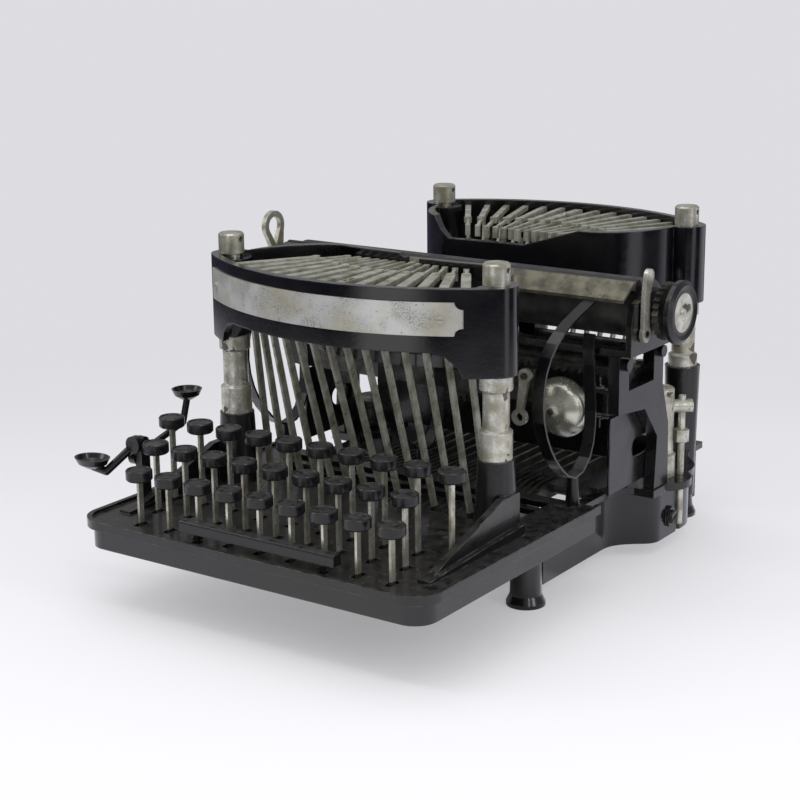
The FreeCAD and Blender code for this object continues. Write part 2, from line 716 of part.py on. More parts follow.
def band_shape():
    """A thin band bent round the tray, with its right corners notched round, and two slotted screws."""
    radius = N["tray_radius"]
    z0 = N["tray_arch"] + 8.0
    z1 = N["tray_top"] - 5.8
    left = -79.0
    right = 70.0
    ears = 3.4
    sheet_ring = ring(radius + 0.05, radius + 0.95, z0, z1)
    band = sheet_ring.common(block(left, right, -radius - 3, -60, z0, z1))
    bites = [rod(vec(right, -radius - 5, z), vec(right, -60, z), ears) for z in (z0, z1)]
    band = band.cut(Part.makeCompound(bites))
    mid = (z0 + z1) / 2.0
    pieces = [band]
    for x in (left + 6.0, right - 9.0):
        angle = math.asin(x / radius)
        head = rod(vec(0, -radius - 0.95, mid), vec(0, -radius - 1.9, mid), 1.7)
        slot = block(-2, 2, -radius - 3, -radius - 1.5, mid - 0.3, mid + 0.3)
        pieces.append(along_ray(head.cut(slot), angle))
    return Part.makeCompound(pieces)


# Keys. A key is a cap on a flat stem, riveted to a long lever that turns on the shaft across the
# base and carries the flat strip that drives its type bar. Even lanes drive the front fan.

def cap_body():
    """A key cap, turned, with a shallow dish inside a thin rim."""
    rim = D["cap_r"] - 0.9
    profile = [
        (0, 0), (D["cap_r"] - 0.7, 0), (D["cap_r"], 0.7), (D["cap_r"], D["cap_t"] - 0.5),
        (D["cap_r"] - 0.4, D["cap_t"]), (rim, D["cap_t"]), (rim - 0.3, D["cap_t"] - 0.5),
        (0, D["cap_t"] - 0.7),
    ]
    return turned("key_cap", profile)


def lever_plan(lane, x, y):
    """The lever's middle line, from the stem over the shaft to its back end."""
    x_shaft = lane_at_shaft(lane)
    back = platen_y + 10.0 if lane % 2 == 0 else strip_y_back + 2.5
    return [(x, y - 1.8), (x, lever_bend_y), (x_shaft, platen_y - 6.0), (x_shaft, back)]


def x_of_lever(lane, x, at_y):
    """Where a lever's middle line is at a given depth."""
    x_shaft = lane_at_shaft(lane)
    end = platen_y - 6.0
    share = min(max((at_y - lever_bend_y) / (end - lever_bend_y), 0.0), 1.0)
    return x + (x_shaft - x) * share


def drive_strip(lane, x):
    """The flat strip from the lever up into its tray, as a skewed prism."""
    angle = bar_angles[lane // 2]
    reach = 116.0
    if lane % 2 == 0:
        foot = vec(x_of_lever(lane, x, strip_y_front), strip_y_front, lever_top - 1.0)
        top = vec(reach * math.sin(angle), platen_y - reach * math.cos(angle), strip_top)
    else:
        foot = vec(lane_at_shaft(lane), strip_y_back, lever_top - 1.0)
        top = vec(reach * math.sin(angle), platen_y + reach * math.cos(angle), strip_top)
    half_x = 0.7
    half_y = 2.0
    corners = [(-half_x, -half_y), (half_x, -half_y), (half_x, half_y), (-half_x, half_y)]
    base = [vec(foot.x + a, foot.y + b, foot.z) for a, b in corners]
    return Part.Face(Part.makePolygon(base + base[:1])).extrude(top - foot)


def key_shape(lane, x, y, top, cap):
    """One key: its cap, and its lever fused with the stem and the drive strip."""
    lever = ribbon(lever_plan(lane, x, y), N["lever_t"], N["lever_bottom"], lever_top)
    cap_bottom = top - N["cap_t"]
    stem = block(x - 0.65, x + 0.65, y - 1.4, y + 1.6, lever_top - 1.0, cap_bottom)
    arm = fuse([lever, stem, drive_strip(lane, x)])
    bore = rod(vec(-120, platen_y, shaft_z), vec(120, platen_y, shaft_z), N["shaft_r"] + N["run_gap"])
    return Part.makeCompound([placed(cap, x, y, cap_bottom), arm.cut(bore)])


def lever_shaft():
    """The shaft that all the key levers turn on, turned with a collar at each base wall."""
    half = D["wall_x"] - D["wall_t"] - D["seat_gap"]
    inner = half - 5.0
    collar = 4.5
    body = turned("shaft", [
        (0, -half), (collar, -half), (collar, -inner), (D["shaft_r"], -inner), (D["shaft_r"], inner),
        (collar, inner), (collar, half), (0, half),
    ])
    return laid_along_x(body, D["lever_bottom"] + D["lever_h"] / 2.0)


# Space bar and shift levers.

def space_bar():
    """The space bar on two stems from a bail, whose arms run back outside the levers to two pins."""
    low = N["deck_top"] + 4.5
    bar = block(-38.0, 50.0, space_bar_y - 2.7, space_bar_y + 2.8, low, low + 5.5)
    edges = [edge for edge in bar.Edges if edge.BoundBox.XLength > 50 and edge.CenterOfMass.z > low + 4]
    bar = bar.makeFillet(1.4, edges)
    front = space_bar_y - 0.8
    arm_half = 1.2
    outer = space_arm_x + arm_half
    pieces = [bar, block(-outer, outer, front, front + 2.0, space_z - 2.0, space_z + 2.0)]
    for x in space_stems:
        pieces.append(block(x - 1.2, x + 1.2, front, front + 2.0, space_z, low + 1))
    holes = []
    for x in (-space_arm_x, space_arm_x):
        pieces.append(block(x - arm_half, x + arm_half, front, space_y, space_z - 2.0, space_z + 2.0))
        pieces.append(rod(vec(x - arm_half, space_y, space_z), vec(x + arm_half, space_y, space_z), 4.0))
        holes.append(rod(vec(x - 3, space_y, space_z), vec(x + 3, space_y, space_z),
                         N["shaft_r"] + N["run_gap"]))
    return fuse(pieces).cut(Part.makeCompound(holes))


def oval(long_r, short_r, z):
    """The edge of an ellipse about the Z axis, longer along X."""
    curve = Part.Ellipse(vec(0, 0, z), max(long_r, short_r + 0.001), short_r)
    return Part.Wire(curve.toShape())


def dish(x, y, z, long_r, short_r):
    """An oval finger dish: a bowl lofted through ovals, with a second loft cut out of it."""
    outside = [(0.42, -4.6), (0.82, -2.6), (1.0, 0.5)]
    inside = [(0.3, -3.0), (0.72, -1.6), (0.94, 1.0)]
    bowl, hollow = [
        Part.makeLoft([oval(long_r * share, short_r * share, height) for share, height in profile], True, True)
        for profile in (outside, inside)
    ]
    return placed(bowl.cut(hollow), x, y, z)


def arm_through(points, radius):
    """A round bent arm through points, with a ball at each bend."""
    pieces = [rod(a, b, radius) for a, b in zip(points, points[1:])]
    pieces += [Part.makeSphere(radius, p) for p in points[1:-1]]
    return pieces


def low_shift_lever():
    """The left shift lever: a dish out at the side on a thick bent arm that tips on the front pin."""
    x = -89.0
    bowl = dish(-108.0, front_edge + 22.0, 67.5, 9.5, 7.5)
    arm = arm_through([
        vec(-108.0, front_edge + 22.0, 63.4), vec(-101.0, front_edge + 24.0, 61.5),
        vec(x - 3.5, shift_y - 5.0, shift_z - 3.0),
    ], 2.0)
    hub = rod(vec(x, shift_y - 7.0, shift_z), vec(x, shift_y - 3.4, shift_z), 4.2)
    hole = rod(vec(x, shift_y - 8.0, shift_z), vec(x, shift_y, shift_z), 1.8 + N["run_gap"])
    return fuse([bowl, hub] + arm).cut(hole)


def high_shift_lever():
    """The other shift lever: a dish on a tall stem behind the first one's pin."""
    x = -93.6
    z = shift_z - 8.0
    dish_y = front_edge + 74.0
    bowl = dish(x + 1.6, dish_y, 92.5, 7.6, 7.6)
    arm = arm_through([
        vec(x + 1.6, dish_y, 88.4), vec(x, dish_y - 2.0, z + 9.0), vec(x, shift_y + 12.0, z + 3.0),
        vec(x, shift_y, z),
    ], 1.7)
    hub = rod(vec(x - 1.6, shift_y, z), vec(x + 2.3, shift_y, z), 3.8)
    hole = rod(vec(x - 5, shift_y, z), vec(x + 4, shift_y, z), 1.8 + N["run_gap"])
    return fuse([bowl, hub] + arm).cut(hole)


# Carriage.

rail_ys = (platen_y - N["rail_front"], platen_y + N["rail_back"])
bed_low = N["rail_z"] + 6.0
bed_high = bed_low + 3.0
plate_x = N["platen_half"] + 1.0
plate_t = 3.0


def carriage_frame():
    """Bed, end plates and shoes in one casting, with the scale plate as a second solid."""
    y0 = rail_ys[0] - 9.0
    y1 = rail_ys[1] + 9.0
    bed = block(-plate_x - plate_t, plate_x + plate_t, y0, y1, bed_low, bed_high)
    window = block(-plate_x + 8, plate_x - 8, y0 + 7, y1 - 7, bed_low - 1, bed_high + 1)
    shoes = []
    holes = []
    for x in (-24.0, 24.0):
        for y in rail_ys:
            shoes.append(block(x - 8, x + 8, y - 5.5, y + 5.5, N["rail_z"] - 5, bed_low + 1))
    for y in rail_ys:
        holes.append(rod(vec(-150, y, N["rail_z"]), vec(150, y, N["rail_z"]), N["rail_r"] + N["run_gap"]))
    ends = []
    z = N["platen_z"]
    for side in (-1, 1):
        x0 = min(side * plate_x, side * (plate_x + plate_t))
        profile = [
            (y0, bed_low), (y1, bed_low), (y1, bed_high + 3), (platen_y + 9, z + 7), (platen_y + 4, z + 10),
            (platen_y - 4, z + 10), (y0 + 2, z + 6), (y0, z - 4),
        ]
        ends.append(side_plate(profile, x0, x0 + plate_t))
    holes.append(rod(vec(-150, platen_y, z), vec(150, platen_y, z), N["axle_r"] + N["run_gap"]))
    left = -plate_x - plate_t
    pins = [
        rod(vec(left + 1, lever_pin[0], lever_pin[1]), vec(left - 4.6, lever_pin[0], lever_pin[1]), 1.6),
        rod(vec(-left - 1, lever_pin[0], lever_pin[1]), vec(-left + 3.2, lever_pin[0], lever_pin[1]), 1.6),
    ]
    frame = fuse([bed.cut(window)] + shoes + ends).cut(Part.makeCompound(holes))
    frame = fuse([frame] + pins)
    scale = side_plate([
        (platen_y - 17.0, z + 16.0), (platen_y - 28.5, z + 9.0), (platen_y - 28.5, z + 7.4),
        (platen_y - 17.0, z + 14.4),
    ], -plate_x + 0.2, plate_x - 0.2)
    roller = rod(vec(-plate_x + 0.2, platen_y - 13.2, z + 13.0),
                 vec(plate_x - 0.2, platen_y - 13.2, z + 13.0), 3.5)
    return Part.makeCompound([frame, scale, roller])


lever_pin = (platen_y - 15.0, N["platen_z"] - 9.0)


def platen_body():
    """The platen: a rubber drum on an axle that runs on to the ratchet and the knob."""
    half = D["platen_half"]
    right_end = half + 13.4
    body = turned("drum_and_axle", [
        (0, -D["half_width"]), (D["axle_r"], -D["half_width"]), (D["axle_r"], -half), (D["platen_r"], -half),
        (D["platen_r"], half), (D["axle_r"], half), (D["axle_r"], right_end), (0, right_end),
    ])
    return laid_along_x(body, D["platen_z"])


def knob_body():
    """The platen knob: a ringed black rim round a nickel face with a hub."""
    r = D["knob_r"]
    start = D["platen_half"] + 13.6
    end = D["half_width"]
    body = turned("knob", [
        (0, start), (r - 2.0, start), (r, start + 1.6), (r, end - 2.4), (r - 2.2, end - 0.9),
        (r - 4.4, end - 1.8), (4.0, end - 1.4), (3.0, end), (0, end),
    ])
    return laid_along_x(body, D["platen_z"])


def saw_wheel(teeth, tip, root, y0, y1):
    """A saw-toothed wheel on the Y axis."""
    points = []
    for i in range(teeth):
        for radius, share in ((tip, 0.0), (root, 0.12)):
            angle = 2.0 * math.pi * (i + share) / teeth
            points.append((radius * math.sin(angle), radius * math.cos(angle)))
    return xz_plate(points, y0, y1)


def ratchet_wheel():
    """The line-space ratchet between the end plate and the knob."""
    wheel = saw_wheel(24, 14.0, 12.4, 0.0, 3.2)
    wheel = placed(wheel, 0, 0, 0, vec(0, 0, 1), -90.0)
    wheel = placed(wheel, plate_x + 7.0, platen_y, N["platen_z"])
    hole = rod(vec(90, platen_y, N["platen_z"]), vec(130, platen_y, N["platen_z"]),
               N["axle_r"] + N["run_gap"])
    return wheel.cut(hole)


def line_lever():
    """The line-space lever at the left end, with a teardrop finger ring."""
    y, z = lever_pin
    x0 = -plate_x - plate_t - 3.6
    ring_y = y - 5.0
    ring_z = z + 33.6
    ring_r = 8.0
    outer = rod(vec(x0, ring_y, ring_z), vec(x0 + 2.6, ring_y, ring_z), ring_r)
    neck = side_plate([
        (ring_y - ring_r * 0.93, ring_z - 2.8), (ring_y + ring_r * 0.93, ring_z - 2.8),
        (y + 1.4, z + 14), (y + 2.6, z), (y - 2.6, z), (y - 3.2, z + 14),
    ], x0, x0 + 2.6)
    foot = rod(vec(x0, y, z), vec(x0 + 2.6, y, z), 4.0)
    window = rod(vec(x0 - 1, ring_y, ring_z), vec(x0 + 4, ring_y, ring_z), ring_r * 0.62)
    point = side_plate([
        (ring_y - ring_r * 0.58, ring_z - 1.6), (ring_y + ring_r * 0.58, ring_z - 1.6),
        (ring_y + 0.9, ring_z - 10.5),
    ], x0 - 1, x0 + 4)
    hole = rod(vec(x0 - 2, y, z), vec(x0 + 5, y, z), 1.6 + N["run_gap"])
    return fuse([outer, neck, foot]).cut(window.fuse(point)).cut(hole)


def release_lever():
    """The paper-release lever at the right end, with a rounded thumb tab."""
    y, z = lever_pin
    x0 = plate_x + plate_t + 0.6
    blade = side_plate([(y - 3.0, z), (y + 3.0, z), (y + 2.4, z + 18), (y + 6.0, z + 27), (y - 1.0, z + 28),
                        (y - 2.6, z + 18)], x0, x0 + 2.2)
    tab = rod(vec(x0, y + 2.6, z + 27.5), vec(x0 + 2.2, y + 2.6, z + 27.5), 3.6)
    foot = rod(vec(x0, y, z), vec(x0 + 2.2, y, z), 4.0)
    hole = rod(vec(x0 - 2, y, z), vec(x0 + 5, y, z), 1.6 + N["run_gap"])
    return fuse([blade, tab, foot]).cut(hole)


# Feed rack and its pinion.

rack_y = (platen_y - 9.3, platen_y - 5.3)
pinion_teeth = 18
pinion_r = pinion_teeth * N["tooth_module"] / 2.0
pinion_z = N["rack_line"] - pinion_r
pressure = math.radians(20.0)
tooth_slack = 0.15


def feed_rack():
    """The rack under the carriage, teeth down, with a tooth space over the pinion's top tooth."""
    module = N["tooth_module"]
    pitch = math.pi * module
    line = N["rack_line"]
    root = line + 1.2 * module
    tip = line - 1.0 * module
    half = 23 * pitch
    points = [(-half, root + 8.0), (-half, root)]
    count = 46
    for i in range(count):
        middle = -half + (i + 0.5) * pitch
        wide = pitch / 4.0 - tooth_slack / 2.0 + 1.2 * module * math.tan(pressure)
        slim = pitch / 4.0 - tooth_slack / 2.0 - 1.0 * module * math.tan(pressure)
        points += [(middle - wide, root), (middle - slim, tip), (middle + slim, tip), (middle + wide, root)]
    points += [(half, root), (half, root + 8.0)]
    bar = xz_plate(points, rack_y[0], rack_y[1])
    hangers = [block(x - 3, x + 3, rack_y[0], rack_y[1], root + 7.0, bed_low) for x in (-33.0, 33.0)]
    return fuse([bar] + hangers)


def involute(base, radius):
    """Angle of an involute at a radius, from where it leaves its base circle."""
    if radius <= base:
        return 0.0
    roll = math.sqrt((radius / base) ** 2 - 1.0)
    return roll - math.atan(roll)


def escape_wheel():
    """The pinion under the rack, fused to the saw-toothed escape wheel behind it."""
    module = N["tooth_module"]
    base = pinion_r * math.cos(pressure)
    half_angle = (math.pi * module / 4.0 - tooth_slack / 2.0) / pinion_r + involute(base, pinion_r)
    radii = [pinion_r - 1.2 * module, base, pinion_r - 0.2 * module, pinion_r + 0.35 * module,
             pinion_r + 0.95 * module]
    points = []
    for i in range(pinion_teeth):
        middle = 2.0 * math.pi * i / pinion_teeth
        flank = [(r, half_angle - involute(base, r)) for r in radii]
        for r, a in flank:
            points.append((r * math.sin(middle - a), r * math.cos(middle - a)))
        for r, a in flank[::-1]:
            points.append((r * math.sin(middle + a), r * math.cos(middle + a)))
    pinion = xz_plate(points, 0.0, 4.0)
    wheel = saw_wheel(30, 15.0, 13.4, 5.2, 6.8)
    hub = rod(vec(0, 0, 0), vec(0, 6.8, 0), 4.5)
    hole = rod(vec(0, -2, 0), vec(0, 12, 0), 2.0 + N["run_gap"])
    return fuse([pinion, hub, wheel]).cut(hole)


# Rails with their brackets and the beam between them.

beam_y = (platen_y - 22.0, platen_y - 16.0)
beam_z = (86.0, 96.0)
bell_x = 69.5
bell_z = 86.2


def carriage_rails():
    """Two rails in two brackets that stand on the lugs, and the beam that carries the feed and bell."""
    t = N["bracket_t"]
    made = []
    lug_top = N["wall_top"]
    for side in (-1, 1):
        x0 = min(side * N["bracket_x"], side * (N["bracket_x"] + t))
        z = N["rail_z"]
        profile = [
            (platen_y + 18.0, lug_top), (platen_y + 33.0, lug_top), (platen_y + 32.0, 70.0),
            (rail_ys[1] + 5.0, beam_z[1] - 4), (rail_ys[1] + 5.0, z + 4.4), (rail_ys[1] - 5.0, z + 4.4),
            (rail_ys[1] - 5.0, beam_z[1]), (rail_ys[0] + 5.0, beam_z[1]), (rail_ys[0] + 5.0, z + 4.4),
            (rail_ys[0] - 5.0, z + 4.4), (rail_ys[0] - 5.0, beam_z[0]), (platen_y + 6.0, beam_z[0] - 3.0),
            (platen_y + 20.0, 66.0),
        ]
        made.append(side_plate(profile, x0, x0 + t))
    half = N["bracket_x"] + t
    bores = [
        rod(vec(-half - 5, y, N["rail_z"]), vec(half + 5, y, N["rail_z"]), N["rail_r"] + N["run_gap"])
        for y in rail_ys
    ]
    made = [bracket.cut(Part.makeCompound(bores)) for bracket in made]
    for y in rail_ys:
        made.append(rod(vec(-half - 3, y, N["rail_z"]), vec(half + 3, y, N["rail_z"]), N["rail_r"]))
    inner = N["bracket_x"]
    beam = block(-inner, inner, beam_y[0], beam_y[1], beam_z[0], beam_z[1])
    stud = rod(vec(0, beam_y[0] + 2, pinion_z), vec(0, rack_y[0] + 9.0, pinion_z), 2.0)
    ear = block(trip_x - 3, trip_x + 3, beam_y[0], beam_y[1], beam_z[1] - 1, trip_z + 3)
    pin = rod(vec(trip_x, beam_y[0] + 1, trip_z), vec(trip_x, beam_y[0] - 4.4, trip_z), 1.6)
    made.append(fuse([beam, stud, ear, pin]))
    return Part.makeCompound(made)


trip_x = 49.5
trip_z = 99.5


def bell_body():
    """The bell, turned: a thin dome that faces the front, on a stud from the beam."""
    r = D["bell_r"]
    t = 1.0
    profile = [
        (0, 0), (2.4, 0), (2.4, 9.0), (r * 0.45, 8.6), (r * 0.8, 5.6), (r - t, 0.6), (r, 0.6),
        (r * 0.83, 6.4), (r * 0.47, 9.8), (2.6, 10.6), (2.6, 11.8), (0, 11.8),
    ]
    body = turned("bell_dome", profile)
    body.Placement = FreeCAD.Placement(vec(bell_x, 0, bell_z), FreeCAD.Rotation(vec(1, 0, 0), 90))
    body.setExpression("Placement.Base.y", (D["half_depth"] - D["tray_radius"] - 22.0).text)
    doc.recompute()
    return body


def trip_lever():
    """The bell's trip lever: a flat link that hangs from a pin and ends in a ring."""
    y0 = beam_y[0] - 3.4
    y1 = beam_y[0] - 0.8
    foot_x = trip_x - 3.0
    foot_z = trip_z - 21.5
    top = rod(vec(trip_x, y0, trip_z), vec(trip_x, y1, trip_z), 3.6)
    loop = rod(vec(foot_x, y0, foot_z), vec(foot_x, y1, foot_z), 4.2)
    link = xz_plate([
        (trip_x - 2.6, trip_z), (trip_x + 2.6, trip_z), (foot_x + 1.7, foot_z + 2), (foot_x - 1.7, foot_z + 2),
    ], y0, y1)
    holes = rod(vec(trip_x, y0 - 1, trip_z), vec(trip_x, y1 + 1, trip_z), 1.6 + N["run_gap"])
    holes = holes.fuse(rod(vec(foot_x, y0 - 1, foot_z), vec(foot_x, y1 + 1, foot_z), 2.3))
    return fuse([top, loop, link]).cut(holes)


# Paper basket: flat bands bent to a loop below the platen.

def basket_bands():
    """Three bands, each bent along the same loop and stood on a stub of the base's cross web."""
    loop = [
        (platen_y - 27.5, N["platen_z"] + 7.0), (platen_y - 42.0, 137.5), (platen_y - 57.0, 131.5),
        (platen_y - 69.0, 122.0), (platen_y - 75.0, 107.0), (platen_y - 71.5, 85.5),
        (platen_y - 59.0, 68.0), (platen_y - 42.0, basket_foot_z), (platen_y - 32.0, 64.0),
        (platen_y - 26.0, 79.0), (platen_y - 27.0, 105.0), (platen_y - 27.5, 126.0),
    ]
    return Part.makeCompound([bent_band(loop, x - 3.0, x + 3.0, 1.1) for x in basket_xs])


def bent_band(points, x0, x1, thickness):
    """A flat band whose side view follows a smooth curve through (y, z) points."""
    curve = Part.BSplineCurve()
    curve.interpolate(Points=[vec(x0, y, z) for y, z in points])
    outer = []
    inner = []
    steps = 26
    first, last = curve.FirstParameter, curve.LastParameter
    for i in range(steps + 1):
        at = first + (last - first) * i / steps
        spot = curve.value(at)
        along = curve.tangent(at)[0]
        side = vec(0, -along.z, along.y) * (thickness / 2.0)
        outer.append(spot + side)
        inner.append(spot - side)
    wire = Part.makePolygon(outer + inner[::-1] + outer[:1])
    return Part.Face(wire).extrude(vec(x1 - x0, 0, 0))


# The nickel post on the right lug, and the spring drum on the left one.

def side_post():
    """A turned post on the right lug, its cross pin, and the rod and nut beside it."""
    lug_top = N["wall_top"]
    y = platen_y + 43.0
    pillar = turned("side_pillar", [
        (0, 0), (8.2, 0), (8.2, 11.5), (6.9, 12.5), (6.9, 46.0), (6.2, 46.8), (0, 46.8),
    ])
    post = placed(pillar.Shape, 90.0, y, lug_top)
    pin_z = lug_top + 36.5
    pin = rod(vec(90.0, y, pin_z), vec(hanger_x + 4.2, hanger_y + 3.2, pin_z), 3.4)
    post = post.fuse(pin).cut(rod(vec(hanger_x, hanger_y, pin_z - 5), vec(hanger_x, hanger_y, pin_z + 5),
                                  hanger_r + N["run_gap"]))
    hanger = rod(vec(hanger_x, hanger_y, 11.0), vec(hanger_x, hanger_y, lug_top + 42.0), hanger_r)
    points = []
    for i in range(6):
        angle = math.radians(60.0 * i + 20.0)
        points.append((hanger_x + 4.0 * math.cos(angle), hanger_y + 4.0 * math.sin(angle)))
    nut = flat(points, lug_top + 17.5, lug_top + 24.0)
    return Part.makeCompound([post, hanger.fuse(nut)])


def drum_body():
    """The mainspring drum, turned, with a grooved rim for the carriage's draw band."""
    bore = size(3.0) + D["run_gap"]
    profile = [
        (bore, 0), (11.9, 0), (12.7, 0.9), (12.7, 3.4), (11.4, 4.2), (11.4, 10.6), (12.7, 11.4),
        (12.7, 13.9), (11.9, 14.8), (bore, 14.8),
    ]
    body = turned("drum", profile)
    body.Placement = FreeCAD.Placement(vec(-92.0, drum_y, 0), FreeCAD.Rotation())
    body.setExpression("Placement.Base.z", (D["wall_top"] + D["seat_gap"]).text)
    doc.recompute()
    return body


# Assembly: every node by its name.

keep_shape("base_casting", base_casting())
keep_shape("feet", feet())
front_post, back_post = post_bodies()
keep_shape("posts", at_posts(front_post.Shape, back_post.Shape))
nut = nut_body()
keep_shape("post_nuts", at_posts(nut.Shape, nut.Shape))
rim = N["tray_top"]
front_rim = [(-7, rim + 1), (-3, rim - 1.8), (56, rim - 1.8), (60, rim + 1)]
low_lip = N["throat_top"]
rear_rim = [(-41, rim + 1), (-38, rim), (-3, low_lip), (42, low_lip), (48, low_lip + 4.5), (54, rim), (57, rim + 1)]
keep_shape("front_tray", tray_shape(front_rim, True), IN_FRONT)
keep_shape("rear_tray", tray_shape(rear_rim, False), BEHIND)
keep_shape("front_band", band_shape(), IN_FRONT)
keep_shape("front_type_bars", bar_fan(4.6), IN_FRONT)
keep_shape("rear_type_bars", bar_fan(3.2), BEHIND)
for name, place in (("front", IN_FRONT), ("rear", BEHIND)):
    keep_shape(name + "_hop_leg", hop_leg(), place.multiply(STRIKER_RAY))
    keep_shape(name + "_hop_bar", hop_bar(4.6), place.multiply(STRIKER_RAY))
keep(lever_shaft(), "lever_shaft")
keep_shape("space_bar", space_bar())
keep_shape("shift_lever_low", low_shift_lever())
keep_shape("shift_lever_high", high_shift_lever())
keep_shape("carriage_frame", carriage_frame())
keep(platen_body(), "platen")
keep(knob_body(), "platen_knob")
keep_shape("ratchet_wheel", ratchet_wheel())
keep_shape("line_space_lever", line_lever())
keep_shape("paper_release_lever", release_lever())
keep_shape("feed_rack", feed_rack())
keep_shape("escape_wheel", escape_wheel(),
           FreeCAD.Placement(vec(0, rack_y[0], pinion_z), FreeCAD.Rotation()))
keep_shape("carriage_rails", carriage_rails())
keep(bell_body(), "bell")
keep_shape("bell_trip_lever", trip_lever())
keep_shape("basket_bands", basket_bands())
keep_shape("side_post", side_post())
keep(drum_body(), "spring_drum")
cap = cap_body()
for lane, x, y, top in keys:
    keep_shape("key_%02d" % (lane + 1), key_shape(lane, x, y, top, cap.Shape))

doc.recompute()
for obj in doc.Objects:
    bad = [state for state in obj.State if state in ("Invalid", "Error")]
    if bad:
        raise RuntimeError("%s is in error" % obj.Label)
for obj in nodes:
    shape = obj.Shape
    if shape.isNull() or not shape.isValid():
        raise RuntimeError("%s has no valid shape" % obj.Label)
    print(obj.Label, len(shape.Solids), round(shape.Volume, 1))
    shape.exportStep("parts/%s.step" % obj.Label)
print(len(nodes), "nodes")
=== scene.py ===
"""Finishes, small fittings, floor, light and camera for an old keyboard typewriter.

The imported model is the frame: its nodes keep their shapes and places. This script gives each
node its finish, adds the small fittings that the frame leaves out, and sets a plain studio
round the machine. Lengths are metres in the frame's axes: X right, Y back, Z up.
"""

import logging
import math
from collections.abc import Callable
from dataclasses import dataclass, field, fields, replace
from enum import Enum
from typing import Any

import bmesh
import bpy
from mathutils import Matrix, Vector


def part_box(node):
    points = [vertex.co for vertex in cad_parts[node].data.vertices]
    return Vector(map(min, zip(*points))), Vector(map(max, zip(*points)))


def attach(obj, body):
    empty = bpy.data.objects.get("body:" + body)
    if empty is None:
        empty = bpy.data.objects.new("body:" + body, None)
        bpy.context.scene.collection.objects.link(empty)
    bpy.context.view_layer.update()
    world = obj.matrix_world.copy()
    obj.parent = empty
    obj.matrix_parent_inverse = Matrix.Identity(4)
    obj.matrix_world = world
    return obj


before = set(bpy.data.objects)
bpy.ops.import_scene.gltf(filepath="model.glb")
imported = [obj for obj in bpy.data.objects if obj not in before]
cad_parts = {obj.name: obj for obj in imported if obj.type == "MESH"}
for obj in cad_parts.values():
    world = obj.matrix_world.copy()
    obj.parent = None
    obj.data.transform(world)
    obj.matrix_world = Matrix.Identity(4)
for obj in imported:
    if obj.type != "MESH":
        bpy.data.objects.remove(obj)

MM = 0.001
MACHINE = "machine"
LOG = logging.getLogger("typewriter")
Socket = bpy.types.NodeSocket
Tree = bpy.types.NodeTree
Flat = tuple[float, float]
Spot = tuple[float, float, float]


# Colours, nodes and fields.


def linear(code: str) -> tuple[float, float, float, float]:
    """Turns an sRGB hex colour into linear values.

    Args:
        code: A colour such as "#0D0E11".

    Returns:
        Red, green, blue and a full alpha.
    """
    values = []
    for start in (1, 3, 5):
        share = int(code[start:start + 2], 16) / 255.0
        values.append(share / 12.92 if share <= 0.04045 else ((share + 0.055) / 1.055) ** 2.4)
    return values[0], values[1], values[2], 1.0


def add_node(tree: Tree, kind: str, inputs: dict[Any, Any] | None = None, **settings: Any) -> bpy.types.Node:
    """Adds a node with its settings, values and links.

    Args:
        tree: The material's or world's node tree.
        kind: The node's type name.
        inputs: Values by input name or number; a socket is linked.
        **settings: Properties of the node itself.

    Returns:
        The new node.
    """
    node = tree.nodes.new(kind)
    for name, value in settings.items():
        setattr(node, name, value)
    for key, value in (inputs or {}).items():
        if isinstance(value, Socket):
            tree.links.new(value, node.inputs[key])
        else:
            node.inputs[key].default_value = value
    return node


def combined(tree: Tree, operation: str, *shares: Any) -> Socket:
    """Joins fields from 0 to 1 into one.

    Args:
        tree: The node tree.
        operation: MULTIPLY for where all of them hold, MAXIMUM for where any does.
        *shares: The fields, or plain numbers.

    Returns:
        A socket from 0 to 1.
    """
    result = shares[0]
    for share in shares[1:]:
        result = add_node(tree, "ShaderNodeMath", {0: result, 1: share}, operation=operation,
                          use_clamp=True).outputs["Value"]
    return result


@dataclass(frozen=True)
class Clouds:
    """A soft random pattern, with patches of a real size in millimetres.

    The noise value low becomes 0 and high becomes 1. The place is taken at rest, so the pattern
    moves with its piece.
    """

    size_mm: float
    detail: float = 4.0
    low: float = 0.35
    high: float = 0.65

    def share(self, tree: Tree) -> Socket:
        """Gives the pattern as a field from 0 to 1."""
        rest = add_node(tree, "ShaderNodeTexCoord").outputs["Object"]
        noise = add_node(tree, "ShaderNodeTexNoise",
                         {"Vector": rest, "Scale": 1.0 / (self.size_mm * MM), "Detail": self.detail})
        return add_node(tree, "ShaderNodeMapRange", {"Value": noise.outputs["Fac"], "From Min": self.low,
                                                     "From Max": self.high}).outputs["Result"]


@dataclass(frozen=True)
class Streaks:
    """A random pattern stretched to three real sizes in millimetres; a size of 0 leaves that axis alone."""

    size_mm: Spot
    detail: float = 2.0
    turn: float = 0.0

    def value(self, tree: Tree) -> Socket:
        """Gives the noise itself, from 0 to 1 and mostly near the middle."""
        rest = add_node(tree, "ShaderNodeTexCoord").outputs["Object"]
        scale = tuple(1.0 / (size * MM) if size else 1.0 for size in self.size_mm)
        stretched = add_node(tree, "ShaderNodeMapping",
                             {"Vector": rest, "Rotation": (0.0, 0.0, self.turn), "Scale": scale})
        return add_node(tree, "ShaderNodeTexNoise", {"Vector": stretched.outputs[0], "Scale": 1.0,
                                                     "Detail": self.detail}).outputs["Fac"]


def facing_up(tree: Tree, start: float = 0.6, full: float = 0.98) -> Socket:
    """Says how far a surface faces up, where dust settles, between two heights of its normal."""
    normal = add_node(tree, "ShaderNodeNewGeometry").outputs["Normal"]
    height = add_node(tree, "ShaderNodeSeparateXYZ", {"Vector": normal}).outputs["Z"]
    return add_node(tree, "ShaderNodeMapRange",
                    {"Value": height, "From Min": start, "From Max": full}).outputs["Result"]


